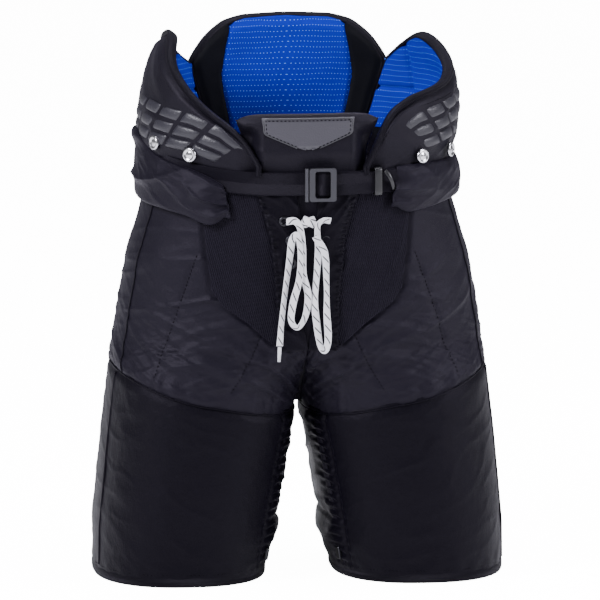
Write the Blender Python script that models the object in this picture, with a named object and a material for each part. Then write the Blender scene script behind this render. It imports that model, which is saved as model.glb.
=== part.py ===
"""Ice hockey pants for an adult: a padded hip section, two padded legs, a flexing waist and its fastenings.

Metres, +Z up. The pants stand on their two hems with the front towards -Y.
Left and right are the wearer's, so left is +X.
Each piece is a closed solid laid on one of two smooth surfaces, the hip section's or a leg's,
at an offset that is positive outwards.
"""

import math

import bmesh
import bpy
from mathutils import Matrix, Vector

# Whole object
SHIFT_Y = 0.0012               # puts the middle of the whole depth on the origin
CORNER_POWER = 2.4           # cross sections are rounder than a rectangle and fuller than an ellipse
GAP = 0.0005                 # space kept between pieces that touch
SEAM = 0.0012                # space kept along a curved seam

# Hip section: half width and half depth by height
HIP_HALF_WIDTHS = (
    (0.185, 0.205), (0.252, 0.199), (0.301, 0.192), (0.350, 0.183), (0.385, 0.172),
    (0.420, 0.162), (0.455, 0.160), (0.500, 0.159), (0.535, 0.153), (0.560, 0.144),
    (0.576, 0.134), (0.590, 0.122),
)
HIP_HALF_DEPTHS = ((0.185, 0.118), (0.400, 0.117), (0.500, 0.112), (0.600, 0.106))
HIP_TOP = 0.424
HIP_EDGE_MIDDLE = 0.254      # lower edge of the hip section, higher in front than behind
HIP_EDGE_SLOPE = 0.014

# Legs
HEM_HEIGHT = 0.012
LEG_OUTER = ((0.0, 0.2195), (0.055, 0.2190), (0.105, 0.2145), (0.154, 0.2100), (0.235, 0.2005))
LEG_INNER_AT_HEM = 0.038
LEG_INNER_SLOPE = 0.19
LEG_INNER_LEAST = 0.004
LEG_HALF_DEPTHS = ((0.0, 0.112), (0.100, 0.116), (0.235, 0.115))
LEG_EDGE_INNER = 0.183
LEG_EDGE_RISE = 0.049
LEG_EDGE_CURVE = 1.6
LEG_AXIS_Z = 0.225
LEG_LINING_TOP = 0.179
HEM_OFFSET = 0.0008
HEM_THICKNESS = 0.0045

# Belt
BELT_Z_FRONT = 0.438
BELT_RISE = 0.012             # from the buckle to the back
BELT_TILT = 0.009            # the right side rises by this much more, and the left by as much less
BELT_RISE_ANGLE = 95         # the belt has risen to its full height by this far round
BELT_OFFSET = 0.0066
BELT_THICKNESS = 0.0018
BELT_WIDTH = 0.025
SLEEVE_BELOW = {"left": 0.036, "right": 0.047}
SLEEVE_ABOVE = 0.0085
SLEEVE_SPAN = (29, 172)
SLEEVE_OFFSET = 0.0150
SLEEVE_THICKNESS = 0.0070
KEEPER_X = 0.073
KEEPER_SIZE = (0.026, 0.026, 0.003)
KEEPER_OFFSET = 0.0090

# Fly
FLY_HALF_GAP = 0.008
PLACKET_OFFSET = 0.0005
PLACKET_THICKNESS = 0.0024
TONGUE_HALF = 0.048
TONGUE_HEIGHTS = (0.272, 0.416)
TONGUE_OFFSET = -0.0026
TONGUE_THICKNESS = 0.0015
EYELET_PLACES = ((0.026, 0.398), (0.019, 0.377), (0.018, 0.352))
EYELET_RADIUS = 0.0055
EYELET_HOLE = 0.0028

# Layers under the shells, from outside in: how deep each one starts, and its thickness
SHELL_THICKNESS = 0.0018
RIB_THICKNESS = 0.0020
STRETCH_THICKNESS = 0.0014
PLASTIC_OFFSET = -0.0034
PLASTIC_THICKNESS = 0.0022
FOAM_OFFSET = -0.0064
FOAM_THICKNESS = 0.0085
TAIL_PAD_THICKNESS = 0.011
LINING_OFFSET = -0.0172
LINING_THICKNESS = 0.0010
HIP_GUARD_ANGLES = (60, 122)
HIP_GUARD_HEIGHTS = (0.282, 0.388)
TAIL_PAD_ANGLES = (160, 200)
TAIL_PAD_HEIGHTS = (0.262, 0.372)
THIGH_GUARD_ANGLES = (-38, 96)
THIGH_GUARD_HEIGHTS = (0.030, 0.186)

# Waist flaps: height of the free edge by angle from the front, or from the back
FIN_TOPS = {
    "left": (
        (24, 0.484), (26, 0.497), (31, 0.514), (43, 0.5265), (67, 0.534), (85, 0.545),
        (95, 0.558), (105, 0.569), (112, 0.572), (120, 0.568), (130, 0.556), (139, 0.541),
    ),
    "right": (
        (24, 0.495), (41, 0.521), (54, 0.541), (68, 0.560), (80, 0.576),
        (92, 0.581), (108, 0.572), (125, 0.555), (139, 0.538),
    ),
}
FIN_START = 24
FIN_BACK_GAP = 3.5           # degrees between a fin and the back pad
FIN_BASE_ABOVE_BELT = 0.0145
FIN_AXIS_X = 0.184
BACK_TOP = ((0, 0.586), (17, 0.584), (26, 0.578), (33, 0.562), (38, 0.539), (40, 0.530))
BACK_EDGE = ((0.462, 154), (0.500, 149), (0.537, 142))
GUARD_TOP = 0.512
GUARD_HALF_ANGLE = ((0.455, 18.0), (0.475, 19.0), (0.500, 21.2), (0.512, 21.5))
GUARD_OFFSET = 0.0050
PATCH_LOW = 0.4755
PATCH_HIGH = 0.5085
PATCH_OFFSET = 0.0066
PATCH_THICKNESS = 0.0012
SNAP_RADIUS = 0.008
SNAP_ANGLES = (44, 66)
SNAP_OFFSET = 0.0106

# A flap's layers: the cover outside, foam, and the blue lining inside
COVER_OFFSET = 0.0100
COVER_THICKNESS = 0.0025
FLAP_FOAM_OFFSET = 0.0062
FLAP_FOAM_THICKNESS = 0.0040
FLAP_FOAM_INSET = 0.002
FLAP_LINING_OFFSET = 0.0011

# Buckle
BUCKLE_X = 0.0
BUCKLE_SIZE = (0.029, 0.036)
BUCKLE_BAR = 0.0062
BUCKLE_THICKNESS = 0.0032
BUCKLE_CORNER = 0.0025
BUCKLE_OFFSET = 0.0105
ROLLER_RADIUS = 0.0022

# Inner-leg zip
ZIP_ANGLE = -62
ZIP_HALF_ANGLE = 5
ZIP_TAPE_TOP = 0.178
ZIP_TAPE_OFFSET = 0.0012
ZIP_TAPE_THICKNESS = 0.0009
ZIP_SLIDER_OFFSET = 0.0038
ZIP_LOW = 0.026
ZIP_SLIDER_SIZE = (0.008, 0.014, 0.003)
ZIP_HIGH = 0.150

LACE_RADIUS = 0.0014

SIDES = (("left", 1), ("right", -1))


# ---------------------------------------------------------------- helpers

def clear_scene():
    for thing in list(bpy.data.objects):
        bpy.data.objects.remove(thing, do_unlink=True)


def along(table, value):
    """Read a table of (value, result) pairs as a smooth curve that never overshoots its entries."""
    if value <= table[0][0]:
        return table[0][1]
    if value >= table[-1][0]:
        return table[-1][1]
    i = max(k for k in range(len(table) - 1) if table[k][0] <= value)
    (low, first), (high, second) = table[i], table[i + 1]
    span = high - low
    t = (value - low) / span
    start = slope_at(table, i) * span
    end = slope_at(table, i + 1) * span
    return (first * (1 + 2 * t) * (1 - t) ** 2 + start * t * (1 - t) ** 2
            + second * (3 - 2 * t) * t ** 2 - end * (1 - t) * t ** 2)


def slope_at(table, i):
    """The slope of the smooth curve at entry i: flat at a turn, otherwise between its neighbours'."""
    if i == 0 or i == len(table) - 1:
        k = min(i, len(table) - 2)
        return (table[k + 1][1] - table[k][1]) / (table[k + 1][0] - table[k][0])
    before = (table[i][1] - table[i - 1][1]) / (table[i][0] - table[i - 1][0])
    after = (table[i + 1][1] - table[i][1]) / (table[i + 1][0] - table[i][0])
    if before * after <= 0:
        return 0.0
    return 2 * before * after / (before + after)


def number(limit, value):
    return limit(value) if callable(limit) else limit


def rounded(value, power):
    return math.copysign(abs(value) ** (2 / power), value)


MATERIALS = {}


def material(name, color, roughness=0.7, metallic=0.0):
    if name not in MATERIALS:
        made = bpy.data.materials.new(name)
        made.use_nodes = True
        shader = made.node_tree.nodes["Principled BSDF"]
        shader.inputs["Base Color"].default_value = (*color, 1)
        shader.inputs["Roughness"].default_value = roughness
        shader.inputs["Metallic"].default_value = metallic
        MATERIALS[name] = made
    return MATERIALS[name]


def add_mesh(name, mesh_builder, made_of, origin=(0, 0, 0)):
    """Close the mesh, turn its faces outwards and put its origin where the piece turns."""
    bmesh.ops.recalc_face_normals(mesh_builder, faces=mesh_builder.faces)
    if mesh_builder.calc_volume(signed=True) < 0:
        bmesh.ops.reverse_faces(mesh_builder, faces=mesh_builder.faces)
    bmesh.ops.translate(mesh_builder, verts=mesh_builder.verts, vec=-Vector(origin))
    mesh = bpy.data.meshes.new(name)
    mesh_builder.to_mesh(mesh)
    mesh_builder.free()
    mesh.materials.append(made_of)
    made = bpy.data.objects.new(name, mesh)
    made.location = origin
    bpy.context.scene.collection.objects.link(made)
    return made


# ---------------------------------------------------------------- the two surfaces

def hip_point(angle, z):
    """A point of the hip section: angle 0 is the front, 90 the left side and 180 the back."""
    turn = math.radians(angle)
    x = along(HIP_HALF_WIDTHS, z) * rounded(math.sin(turn), CORNER_POWER)
    y = -along(HIP_HALF_DEPTHS, z) * rounded(math.cos(turn), CORNER_POWER)
    return Vector((x, y + SHIFT_Y, z))


def hip_angle(x, z):
    """The angle at which the front of the hip section is x from the middle."""
    share = min(1, abs(x) / along(HIP_HALF_WIDTHS, z))
    return math.copysign(math.degrees(math.asin(share ** (CORNER_POWER / 2))), x)


def leg_inner(z):
    return max(LEG_INNER_LEAST, LEG_INNER_AT_HEM - LEG_INNER_SLOPE * z)


def leg_point(angle, z):
    """A point of the left leg: angle 0 is the front, 90 the outer side and -90 the inner side."""
    turn = math.radians(angle)
    inner = leg_inner(z)
    outer = along(LEG_OUTER, z)
    x = (inner + outer) / 2 + (outer - inner) / 2 * rounded(math.sin(turn), CORNER_POWER)
    y = -along(LEG_HALF_DEPTHS, z) * rounded(math.cos(turn), CORNER_POWER)
    return Vector((x, y + SHIFT_Y, z))


def bridge_point(angle, share):
    """The stretch fabric between the top of the left leg (share 0) and the hip section (share 1)."""
    low = leg_point(angle * 2 - 90, leg_edge(angle * 2 - 90) + GAP)
    outward_share = (1 + rounded(math.sin(math.radians(angle * 2 - 90)), CORNER_POWER)) / 2
    above = math.degrees(math.asin(outward_share ** (CORNER_POWER / 2)))
    above = above if angle <= 90 else 180 - above
    high = hip_point(above, hip_edge(above) - GAP)
    point = low.lerp(high, share * share * (3 - 2 * share))
    point.z = low.z + (high.z - low.z) * share
    return point


def hip_edge(angle):
    return HIP_EDGE_MIDDLE + HIP_EDGE_SLOPE * math.cos(math.radians(angle))


def leg_edge(angle):
    outward = (1 + math.sin(math.radians(angle))) / 2
    return LEG_EDGE_INNER + LEG_EDGE_RISE * outward ** LEG_EDGE_CURVE


def belt_z(angle):
    """Height of the middle of the belt. It rises from the buckle, more on the right than on the left."""
    share = min(1, abs((angle + 180) % 360 - 180) / BELT_RISE_ANGLE)
    rise = BELT_RISE - BELT_TILT * math.sin(math.radians(angle))
    return BELT_Z_FRONT + rise * share * share * (3 - 2 * share)


def outward(surface, u, v):
    """The level direction that points out of a surface, or its true normal on the sloping bridge."""
    across = surface(u + 0.4, v) - surface(u - 0.4, v)
    up = surface(u, v + 0.001) - surface(u, v - 0.001)
    facing = across.cross(up)
    if surface is not bridge_point:
        facing.z = 0
    return facing.normalized()


def place(surface, side, u, v, offset):
    point = surface(u, v) + outward(surface, u, v) * offset
    return Vector((point.x * side, point.y, point.z))


def layer(name, surface, angles, heights, counts, offset, thickness, made_of,
          side=1, ring=False, origin=(0, 0, 0)):
    """A closed sheet on a surface. Each limit is a number or a function of the other direction."""
    columns, rows = counts
    builder = bmesh.new()
    faces_of = []
    for depth in (offset, offset - thickness):
        grid = []
        for i in range(columns if ring else columns + 1):
            across = i / columns
            line = []
            for j in range(rows + 1):
                angle, z = spot_between(angles, heights, across, j / rows)
                line.append(builder.verts.new(place(surface, side, angle, z, depth)))
            grid.append(line)
        faces_of.append(grid)
    close_layer(builder, faces_of, columns, rows, ring)
    return add_mesh(name, builder, made_of, origin)


def spot_between(angles, heights, across, up):
    """The angle and height at these shares of the way between limits that may depend on each other."""
    angle = 90
    for _ in range(6):
        low = number(heights[0], angle)
        z = low + (number(heights[1], angle) - low) * up
        first = number(angles[0], z)
        angle = first + (number(angles[1], z) - first) * across
    return angle, z


def close_layer(builder, grids, columns, rows, ring):
    outer, inner = grids
    count = len(outer)
    for i in range(columns):
        k = (i + 1) % count
        for j in range(rows):
            builder.faces.new((outer[i][j], outer[k][j], outer[k][j + 1], outer[i][j + 1]))
            builder.faces.new((inner[i][j + 1], inner[k][j + 1], inner[k][j], inner[i][j]))
        for j in (0, rows):
            builder.faces.new((outer[i][j], outer[k][j], inner[k][j], inner[i][j]))
    if ring:
        return
    for i in (0, columns):
        for j in range(rows):
            builder.faces.new((outer[i][j], outer[i][j + 1], inner[i][j + 1], inner[i][j]))


def turned(name, profile, steps, at, facing, made_of, closed_profile=False):
    """A turned piece: the profile is (radius, height) pairs, and height runs along facing."""
    builder = bmesh.new()
    frame = facing.to_track_quat("Z", "Y").to_matrix()
    rings = []
    for radius, height in profile:
        if radius == 0:
            rings.append([builder.verts.new(at + frame @ Vector((0, 0, height)))])
            continue
        ring = []
        for i in range(steps):
            turn = 2 * math.pi * i / steps
            local = Vector((radius * math.cos(turn), radius * math.sin(turn), height))
            ring.append(builder.verts.new(at + frame @ local))
        rings.append(ring)
    pairs = list(zip(rings, rings[1:]))
    if closed_profile:
        pairs.append((rings[-1], rings[0]))
    for first, second in pairs:
        for i in range(steps):
            corners = [first[i % len(first)], first[(i + 1) % len(first)],
                       second[(i + 1) % len(second)], second[i % len(second)]]
            builder.faces.new(list(dict.fromkeys(corners)))
    return add_mesh(name, builder, made_of)


def bevelled_box(name, size, at, made_of, facing=Vector((0, -1, 0)), up=Vector((0, 0, 1)), bevel=0.0008):
    """A box with eased edges: its height runs along up, its width across and its depth along facing."""
    builder = bmesh.new()
    bmesh.ops.create_cube(builder, size=1)
    bmesh.ops.scale(builder, verts=builder.verts, vec=size)
    bmesh.ops.bevel(builder, geom=builder.edges[:], offset=bevel, segments=1, affect="EDGES")
    across = up.cross(facing).normalized()
    facing = across.cross(up).normalized()
    turn = Matrix((across, up, facing)).transposed()
    bmesh.ops.transform(builder, matrix=turn.to_4x4(), verts=builder.verts)
    bmesh.ops.translate(builder, verts=builder.verts, vec=at)
    return add_mesh(name, builder, made_of, at)


# ---------------------------------------------------------------- colours

def black_fabric():
    return material("black_nylon", (0.013, 0.012, 0.017), 0.75)


def lining():
    return material("grey_lining", (0.05, 0.05, 0.055), 0.85)


def blue_mesh():
    return material("blue_mesh", (0.01, 0.08, 0.60), 0.8)


def foam():
    return material("white_foam", (0.75, 0.75, 0.72), 0.9)


def guard_plastic():
    return material("guard_plastic", (0.03, 0.03, 0.035), 0.45)


def knit():
    return material("rib_knit", (0.015, 0.014, 0.020), 0.9)


def stretch():
    return material("stretch_fabric", (0.015, 0.014, 0.020), 0.8)


def webbing():
    return material("black_webbing", (0.02, 0.02, 0.024), 0.7)


def grey_leather():
    return material("grey_leather", (0.095, 0.09, 0.11), 0.5)


def buckle_metal():
    return material("buckle_metal", (0.30, 0.30, 0.33), 0.4, 1.0)


def snap_metal():
    return material("snap_metal", (0.62, 0.62, 0.65), 0.3, 1.0)


def dark_metal():
    return material("dark_metal", (0.05, 0.05, 0.055), 0.4, 1.0)


def lace_white():
    return material("white_lace", (0.80, 0.80, 0.82), 0.8)


def clear_plastic():
    return material("aglet_plastic", (0.55, 0.56, 0.58), 0.3)


# ---------------------------------------------------------------- hip section

def placket_edge(z):
    """Outer edge of the fly's placket, in metres from the middle."""
    return along(((0.262, 0.032), (0.330, 0.036), (0.380, 0.041), (0.424, 0.056)), z)


def rib_edge(z):
    """Outer edge of the ribbed panel beside the placket."""
    return along(((0.262, 0.038), (0.285, 0.062), (0.305, 0.090), (0.322, 0.102), (0.360, 0.107), (0.424, 0.112)), z)


def make_hip_panels():
    for name, side in SIDES:
        layer(f"fly_placket_{name}", hip_point,
              (lambda z: hip_angle(FLY_HALF_GAP, z), lambda z: hip_angle(placket_edge(z) - SEAM, z)),
              (hip_edge, HIP_TOP), (3, 9), PLACKET_OFFSET, PLACKET_THICKNESS, black_fabric(), side)
        layer(f"rib_panel_{name}", hip_point,
              (lambda z: hip_angle(placket_edge(z), z), lambda z: hip_angle(rib_edge(z) - SEAM, z)),
              (hip_edge, HIP_TOP), (4, 9), 0.0, RIB_THICKNESS, knit(), side)
        layer(f"hip_shell_{name}", hip_point,
              (lambda z: hip_angle(rib_edge(z), z), 179.8),
              (hip_edge, HIP_TOP), (20, 9), 0.0, SHELL_THICKNESS, black_fabric(), side)
    layer("fly_tongue", hip_point, (lambda z: hip_angle(-TONGUE_HALF, z), lambda z: hip_angle(TONGUE_HALF, z)),
          TONGUE_HEIGHTS, (6, 6), TONGUE_OFFSET, TONGUE_THICKNESS, black_fabric())


def make_hip_padding():
    for name, side in SIDES:
        layer(f"hip_guard_{name}", hip_point, HIP_GUARD_ANGLES, HIP_GUARD_HEIGHTS, (10, 4),
              PLASTIC_OFFSET, PLASTIC_THICKNESS, guard_plastic(), side)
        layer(f"hip_foam_{name}", hip_point, HIP_GUARD_ANGLES, HIP_GUARD_HEIGHTS, (10, 4),
              FOAM_OFFSET, FOAM_THICKNESS, foam(), side)
    layer("tail_pad", hip_point, TAIL_PAD_ANGLES, TAIL_PAD_HEIGHTS, (6, 4),
          PLASTIC_OFFSET, TAIL_PAD_THICKNESS, foam())
    layer("waist_lining", hip_point, (0, 360), (0.276, HIP_TOP), (32, 4),
          LINING_OFFSET, LINING_THICKNESS, lining(), ring=True)


def make_stretch_zones():
    for name, side in SIDES:
        layer(f"stretch_zone_{name}", bridge_point, (0.3, 179.7), (0.02, 0.98), (24, 5),
              -0.0002, STRETCH_THICKNESS, stretch(), side)


def make_eyelets():
    profile = ((EYELET_HOLE, 0.0), (EYELET_RADIUS, 0.0), (EYELET_RADIUS - 0.0006, 0.0011),
               (EYELET_HOLE + 0.0006, 0.0011))
    for name, side in SIDES:
        for row, (x, z) in enumerate(EYELET_PLACES, 1):
            angle = hip_angle(x, z)
            at = place(hip_point, side, angle, z, 0.0011)
            facing = outward(hip_point, angle, z)
            facing.x *= side
            turned(f"eyelet_{name}_{row}", profile, 12, at, facing, dark_metal(), closed_profile=True)


# ---------------------------------------------------------------- belt

def make_belt():
    half = BELT_WIDTH / 2
    layer("belt_webbing", hip_point, (0, 360),
          (lambda angle: belt_z(angle) - half, lambda angle: belt_z(angle) + half),
          (56, 1), BELT_OFFSET, BELT_THICKNESS, webbing(), ring=True)
    for name, side in SIDES:
        layer(f"belt_sleeve_{name}", hip_point, SLEEVE_SPAN,
              (lambda angle: belt_z(angle * side) - SLEEVE_BELOW[name],
               lambda angle: belt_z(angle * side) + SLEEVE_ABOVE),
              (18, 4), SLEEVE_OFFSET, SLEEVE_THICKNESS, black_fabric(), side)
    z = belt_z(hip_angle(KEEPER_X, BELT_Z_FRONT))
    angle = hip_angle(KEEPER_X, z)
    bevelled_box("belt_keeper", KEEPER_SIZE, place(hip_point, 1, angle, z, KEEPER_OFFSET),
                 guard_plastic(), outward(hip_point, angle, z))


def make_buckle():
    """A grey frame that swings on the roller at its edge. The belt passes behind the two."""
    width, height = BUCKLE_SIZE
    z = belt_z(0)
    front = place(hip_point, 1, 0, z, BUCKLE_OFFSET)
    axis = Vector((BUCKLE_X - ROLLER_RADIUS, front.y, z))
    roller = ((0, -height / 2), (ROLLER_RADIUS, -height / 2), (ROLLER_RADIUS, height / 2), (0, height / 2))
    turned("buckle_roller", roller, 12, axis, Vector((0, 0, 1)), buckle_metal())
    builder = bmesh.new()
    left = axis.x + ROLLER_RADIUS + GAP
    outline = frame_corners(left, left + width, z, height)
    window = frame_corners(left + BUCKLE_BAR, left + width - BUCKLE_BAR, z, height - 1.1 * BUCKLE_BAR)
    layers = []
    for y in (front.y - BUCKLE_THICKNESS / 2, front.y + BUCKLE_THICKNESS / 2):
        layers.append([[builder.verts.new((x, y, up)) for x, up in loop] for loop in (outline, window)])
    (front_out, front_in), (back_out, back_in) = layers
    for i in range(len(outline)):
        k = (i + 1) % len(outline)
        builder.faces.new((front_out[i], front_out[k], front_in[k], front_in[i]))
        builder.faces.new((back_out[i], back_in[i], back_in[k], back_out[k]))
        builder.faces.new((front_out[i], back_out[i], back_out[k], front_out[k]))
        builder.faces.new((front_in[i], front_in[k], back_in[k], back_in[i]))
    add_mesh("buckle_frame", builder, buckle_metal(), axis)


def frame_corners(left, right, z, height):
    """A rectangle with rounded corners, as (x, z) pairs."""
    radius = BUCKLE_CORNER
    corners = []
    for x, up, start in ((right, 1, 0), (left, 1, 90), (left, -1, 180), (right, -1, 270)):
        inward = -1 if x == right else 1
        for step in range(4):
            turn = math.radians(start + 30 * step)
            corners.append((x + inward * radius + radius * math.cos(turn),
                            z + up * (height / 2 - radius) + radius * math.sin(turn)))
    return corners


# ---------------------------------------------------------------- waist flaps

def fin_base(angle):
    return belt_z(angle) + FIN_BASE_ABOVE_BELT


def back_edge(z):
    """The angle of the back pad's left edge, which slopes outwards as it rises."""
    return along(BACK_EDGE, z)


def make_fins():
    dome = ((0, 0), (SNAP_RADIUS, 0), (SNAP_RADIUS, 0.0008), (SNAP_RADIUS * 0.8, 0.0022),
            (SNAP_RADIUS * 0.45, 0.0029), (0, 0.0031))
    for name, side in SIDES:
        axis = (FIN_AXIS_X * side, 0, fin_base(90 * side))
        span = (FIN_START, lambda z: back_edge(z) - FIN_BACK_GAP)
        heights = (lambda angle: fin_base(angle * side), lambda angle: along(FIN_TOPS[name], angle))
        padded_span = (FIN_START + 3, lambda z: back_edge(z) - FIN_BACK_GAP - 2)
        padded_heights = (lambda angle: fin_base(angle * side) + FLAP_FOAM_INSET,
                          lambda angle: along(FIN_TOPS[name], angle) - FLAP_FOAM_INSET)
        layer(f"fin_cover_{name}", hip_point, span, heights, (20, 5), COVER_OFFSET, COVER_THICKNESS,
              black_fabric(), side, origin=axis)
        layer(f"fin_foam_{name}", hip_point, padded_span, padded_heights, (20, 5), FLAP_FOAM_OFFSET,
              FLAP_FOAM_THICKNESS, foam(), side, origin=axis)
        layer(f"fin_lining_{name}", hip_point, span, heights, (20, 5), FLAP_LINING_OFFSET,
              FLAP_LINING_OFFSET, blue_mesh(), side, origin=axis)
        for row, angle in enumerate(SNAP_ANGLES, 1):
            z = fin_base(angle * side) + SNAP_RADIUS + GAP
            facing = outward(hip_point, angle, z)
            facing.x *= side
            at = place(hip_point, side, angle, z, SNAP_OFFSET)
            turned(f"snap_cap_{name}_{row}", dome, 16, at, facing, snap_metal())


def back_top(angle):
    return along(BACK_TOP, abs(angle - 180))


def make_back_pad():
    axis = (0, hip_point(180, 0.47).y, fin_base(180))
    span = (back_edge, lambda z: 360 - back_edge(z))
    padded_span = (lambda z: back_edge(z) + 2, lambda z: 358 - back_edge(z))
    padded_heights = (lambda angle: fin_base(angle) + FLAP_FOAM_INSET,
                      lambda angle: back_top(angle) - FLAP_FOAM_INSET)
    layer("back_cover", hip_point, span, (fin_base, back_top), (14, 5), COVER_OFFSET, COVER_THICKNESS,
          black_fabric(), origin=axis)
    layer("back_foam", hip_point, padded_span, padded_heights, (14, 5), FLAP_FOAM_OFFSET,
          FLAP_FOAM_THICKNESS, foam(), origin=axis)
    layer("back_lining", hip_point, span, (fin_base, back_top), (14, 5), FLAP_LINING_OFFSET,
          FLAP_LINING_OFFSET, blue_mesh(), origin=axis)


def make_front_guard():
    z = fin_base(0)
    axis = (0, hip_point(0, z).y, z)
    half_angle = lambda z: along(GUARD_HALF_ANGLE, z)
    layer("front_guard", hip_point, (lambda z: -half_angle(z), half_angle), (fin_base, GUARD_TOP), (10, 5),
          GUARD_OFFSET, GUARD_OFFSET, black_fabric(), origin=axis)
    layer("front_patch", hip_point, (lambda z: -patch_half(z), patch_half),
          (PATCH_LOW, PATCH_HIGH), (8, 6), PATCH_OFFSET, PATCH_THICKNESS, grey_leather(), origin=axis)


def patch_half(z):
    """Half width of the shield-shaped patch as an angle: straight sides above a blunt point."""
    above = z - PATCH_LOW
    return hip_angle(along(((0, 0.006), (0.008, 0.030), (0.0165, 0.0455), (0.0330, 0.0480)), above), z)


# ---------------------------------------------------------------- legs

def make_legs():
    axis = (0, SHIFT_Y, LEG_AXIS_Z)
    for name, side in SIDES:
        layer(f"leg_shell_{name}", leg_point, (0, 360), (HEM_HEIGHT + GAP, leg_edge), (36, 6),
              0.0, SHELL_THICKNESS, black_fabric(), side, ring=True, origin=axis)
        layer(f"hem_binding_{name}", leg_point, (0, 360), (0, HEM_HEIGHT), (36, 1),
              HEM_OFFSET, HEM_THICKNESS, webbing(), side, ring=True, origin=axis)
        layer(f"thigh_guard_{name}", leg_point, THIGH_GUARD_ANGLES, THIGH_GUARD_HEIGHTS, (12, 5),
              PLASTIC_OFFSET, PLASTIC_THICKNESS, guard_plastic(), side, origin=axis)
        layer(f"thigh_foam_{name}", leg_point, THIGH_GUARD_ANGLES, THIGH_GUARD_HEIGHTS, (12, 5),
              FOAM_OFFSET, FOAM_THICKNESS, foam(), side, origin=axis)
        layer(f"leg_lining_{name}", leg_point, (0, 360), (HEM_HEIGHT + GAP, LEG_LINING_TOP), (32, 4),
              LINING_OFFSET, LINING_THICKNESS, lining(), side, ring=True, origin=axis)
        layer(f"zip_tape_{name}", leg_point, (ZIP_ANGLE - ZIP_HALF_ANGLE, ZIP_ANGLE + ZIP_HALF_ANGLE),
              (HEM_HEIGHT + GAP, ZIP_TAPE_TOP), (2, 6), ZIP_TAPE_OFFSET, ZIP_TAPE_THICKNESS, webbing(), side,
              origin=axis)
        make_zip_slider(name, side)


def zip_place(z, side):
    return place(leg_point, side, ZIP_ANGLE, z, ZIP_SLIDER_OFFSET)


def make_zip_slider(name, side):
    facing = outward(leg_point, ZIP_ANGLE, ZIP_LOW)
    facing.x *= side
    track = (zip_place(ZIP_HIGH, side) - zip_place(ZIP_LOW, side)).normalized()
    bevelled_box(f"zip_slider_{name}", ZIP_SLIDER_SIZE, zip_place(ZIP_LOW, side), dark_metal(), facing, track)


# ---------------------------------------------------------------- lace

def smooth_path(points, steps):
    """A Catmull-Rom curve through the points."""
    ends = [points[0] * 2 - points[1], *points, points[-1] * 2 - points[-2]]
    path = []
    for i in range(1, len(ends) - 2):
        before, first, second, after = ends[i - 1:i + 3]
        for k in range(steps):
            t = k / steps
            path.append(0.5 * ((2 * first) + (second - before) * t
                               + (2 * before - 5 * first + 4 * second - after) * t * t
                               + (3 * first - before - 3 * second + after) * t ** 3))
    path.append(points[-1])
    return path


def front_place(x, z, offset):
    return place(hip_point, 1, hip_angle(x, z), z, offset)


def make_cord(name, places):
    points = smooth_path([front_place(*spot) for spot in places], 4)
    curve = bpy.data.curves.new(name, "CURVE")
    curve.dimensions = "3D"
    curve.bevel_depth = LACE_RADIUS
    curve.bevel_resolution = 2
    curve.use_fill_caps = True
    spline = curve.splines.new("POLY")
    spline.points.add(len(points) - 1)
    for spot, point in zip(spline.points, points):
        spot.co = (*point, 1)
    curve.materials.append(lace_white())
    made = bpy.data.objects.new(name, curve)
    bpy.context.scene.collection.objects.link(made)


# Each lace half as (x, height, offset from the fly): from its top eyelet past the knot and down
LACE_TAIL = (
    (-0.0235, 0.3980, 0.0048), (-0.0150, 0.3990, 0.0075), (-0.0095, 0.3920, 0.0095),
    (-0.0065, 0.3700, 0.0095), (-0.0060, 0.3420, 0.0095), (-0.0010, 0.3180, 0.0095),
    (-0.0040, 0.2960, 0.0095), (-0.0120, 0.2840, 0.0105), (-0.0190, 0.2920, 0.0120),
    (-0.0170, 0.3120, 0.0130), (-0.0110, 0.3360, 0.0135), (-0.0095, 0.3640, 0.0140),
    (-0.0125, 0.3840, 0.0150), (-0.0180, 0.3800, 0.0145), (-0.0205, 0.3600, 0.0120),
    (-0.0250, 0.3250, 0.0100), (-0.0290, 0.2900, 0.0090), (-0.0310, 0.2640, 0.0085),
)
LACE_LOOP = (
    (0.0235, 0.3980, 0.0048), (0.0150, 0.3990, 0.0075), (0.0090, 0.3920, 0.0095),
    (0.0100, 0.3680, 0.0095), (0.0092, 0.3530, 0.0095), (0.0080, 0.3380, 0.0095),
    (0.0060, 0.3120, 0.0095), (0.0085, 0.2860, 0.0095), (0.0120, 0.2640, 0.0100),
    (0.0170, 0.2590, 0.0110), (0.0200, 0.2720, 0.0120), (0.0185, 0.3000, 0.0125),
    (0.0184, 0.3170, 0.0128), (0.0180, 0.3350, 0.0130), (0.0160, 0.3650, 0.0135),
    (0.0060, 0.3830, 0.0140),
)


def make_lace():
    make_cord("lace_tail", LACE_TAIL)
    make_cord("lace_loop", LACE_LOOP)
    bevelled_box("lace_knot", (0.014, 0.012, 0.007), front_place(0, 0.398, 0.0080), lace_white(), bevel=0.003)
    tip = front_place(*LACE_TAIL[-1])
    profile = ((0, 0), (0.0019, 0), (0.0016, 0.016), (0, 0.016))
    turned("aglet", profile, 10, tip + Vector((0, 0, -0.0010)), Vector((-0.05, 0, -1)).normalized(), clear_plastic())


def main():
    clear_scene()
    make_hip_panels()
    make_hip_padding()
    make_stretch_zones()
    make_eyelets()
    make_belt()
    make_buckle()
    make_fins()
    make_back_pad()
    make_front_guard()
    make_legs()
    make_lace()


main()
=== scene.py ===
import math

import bmesh
import bpy
import numpy as np
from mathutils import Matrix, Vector, noise


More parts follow.
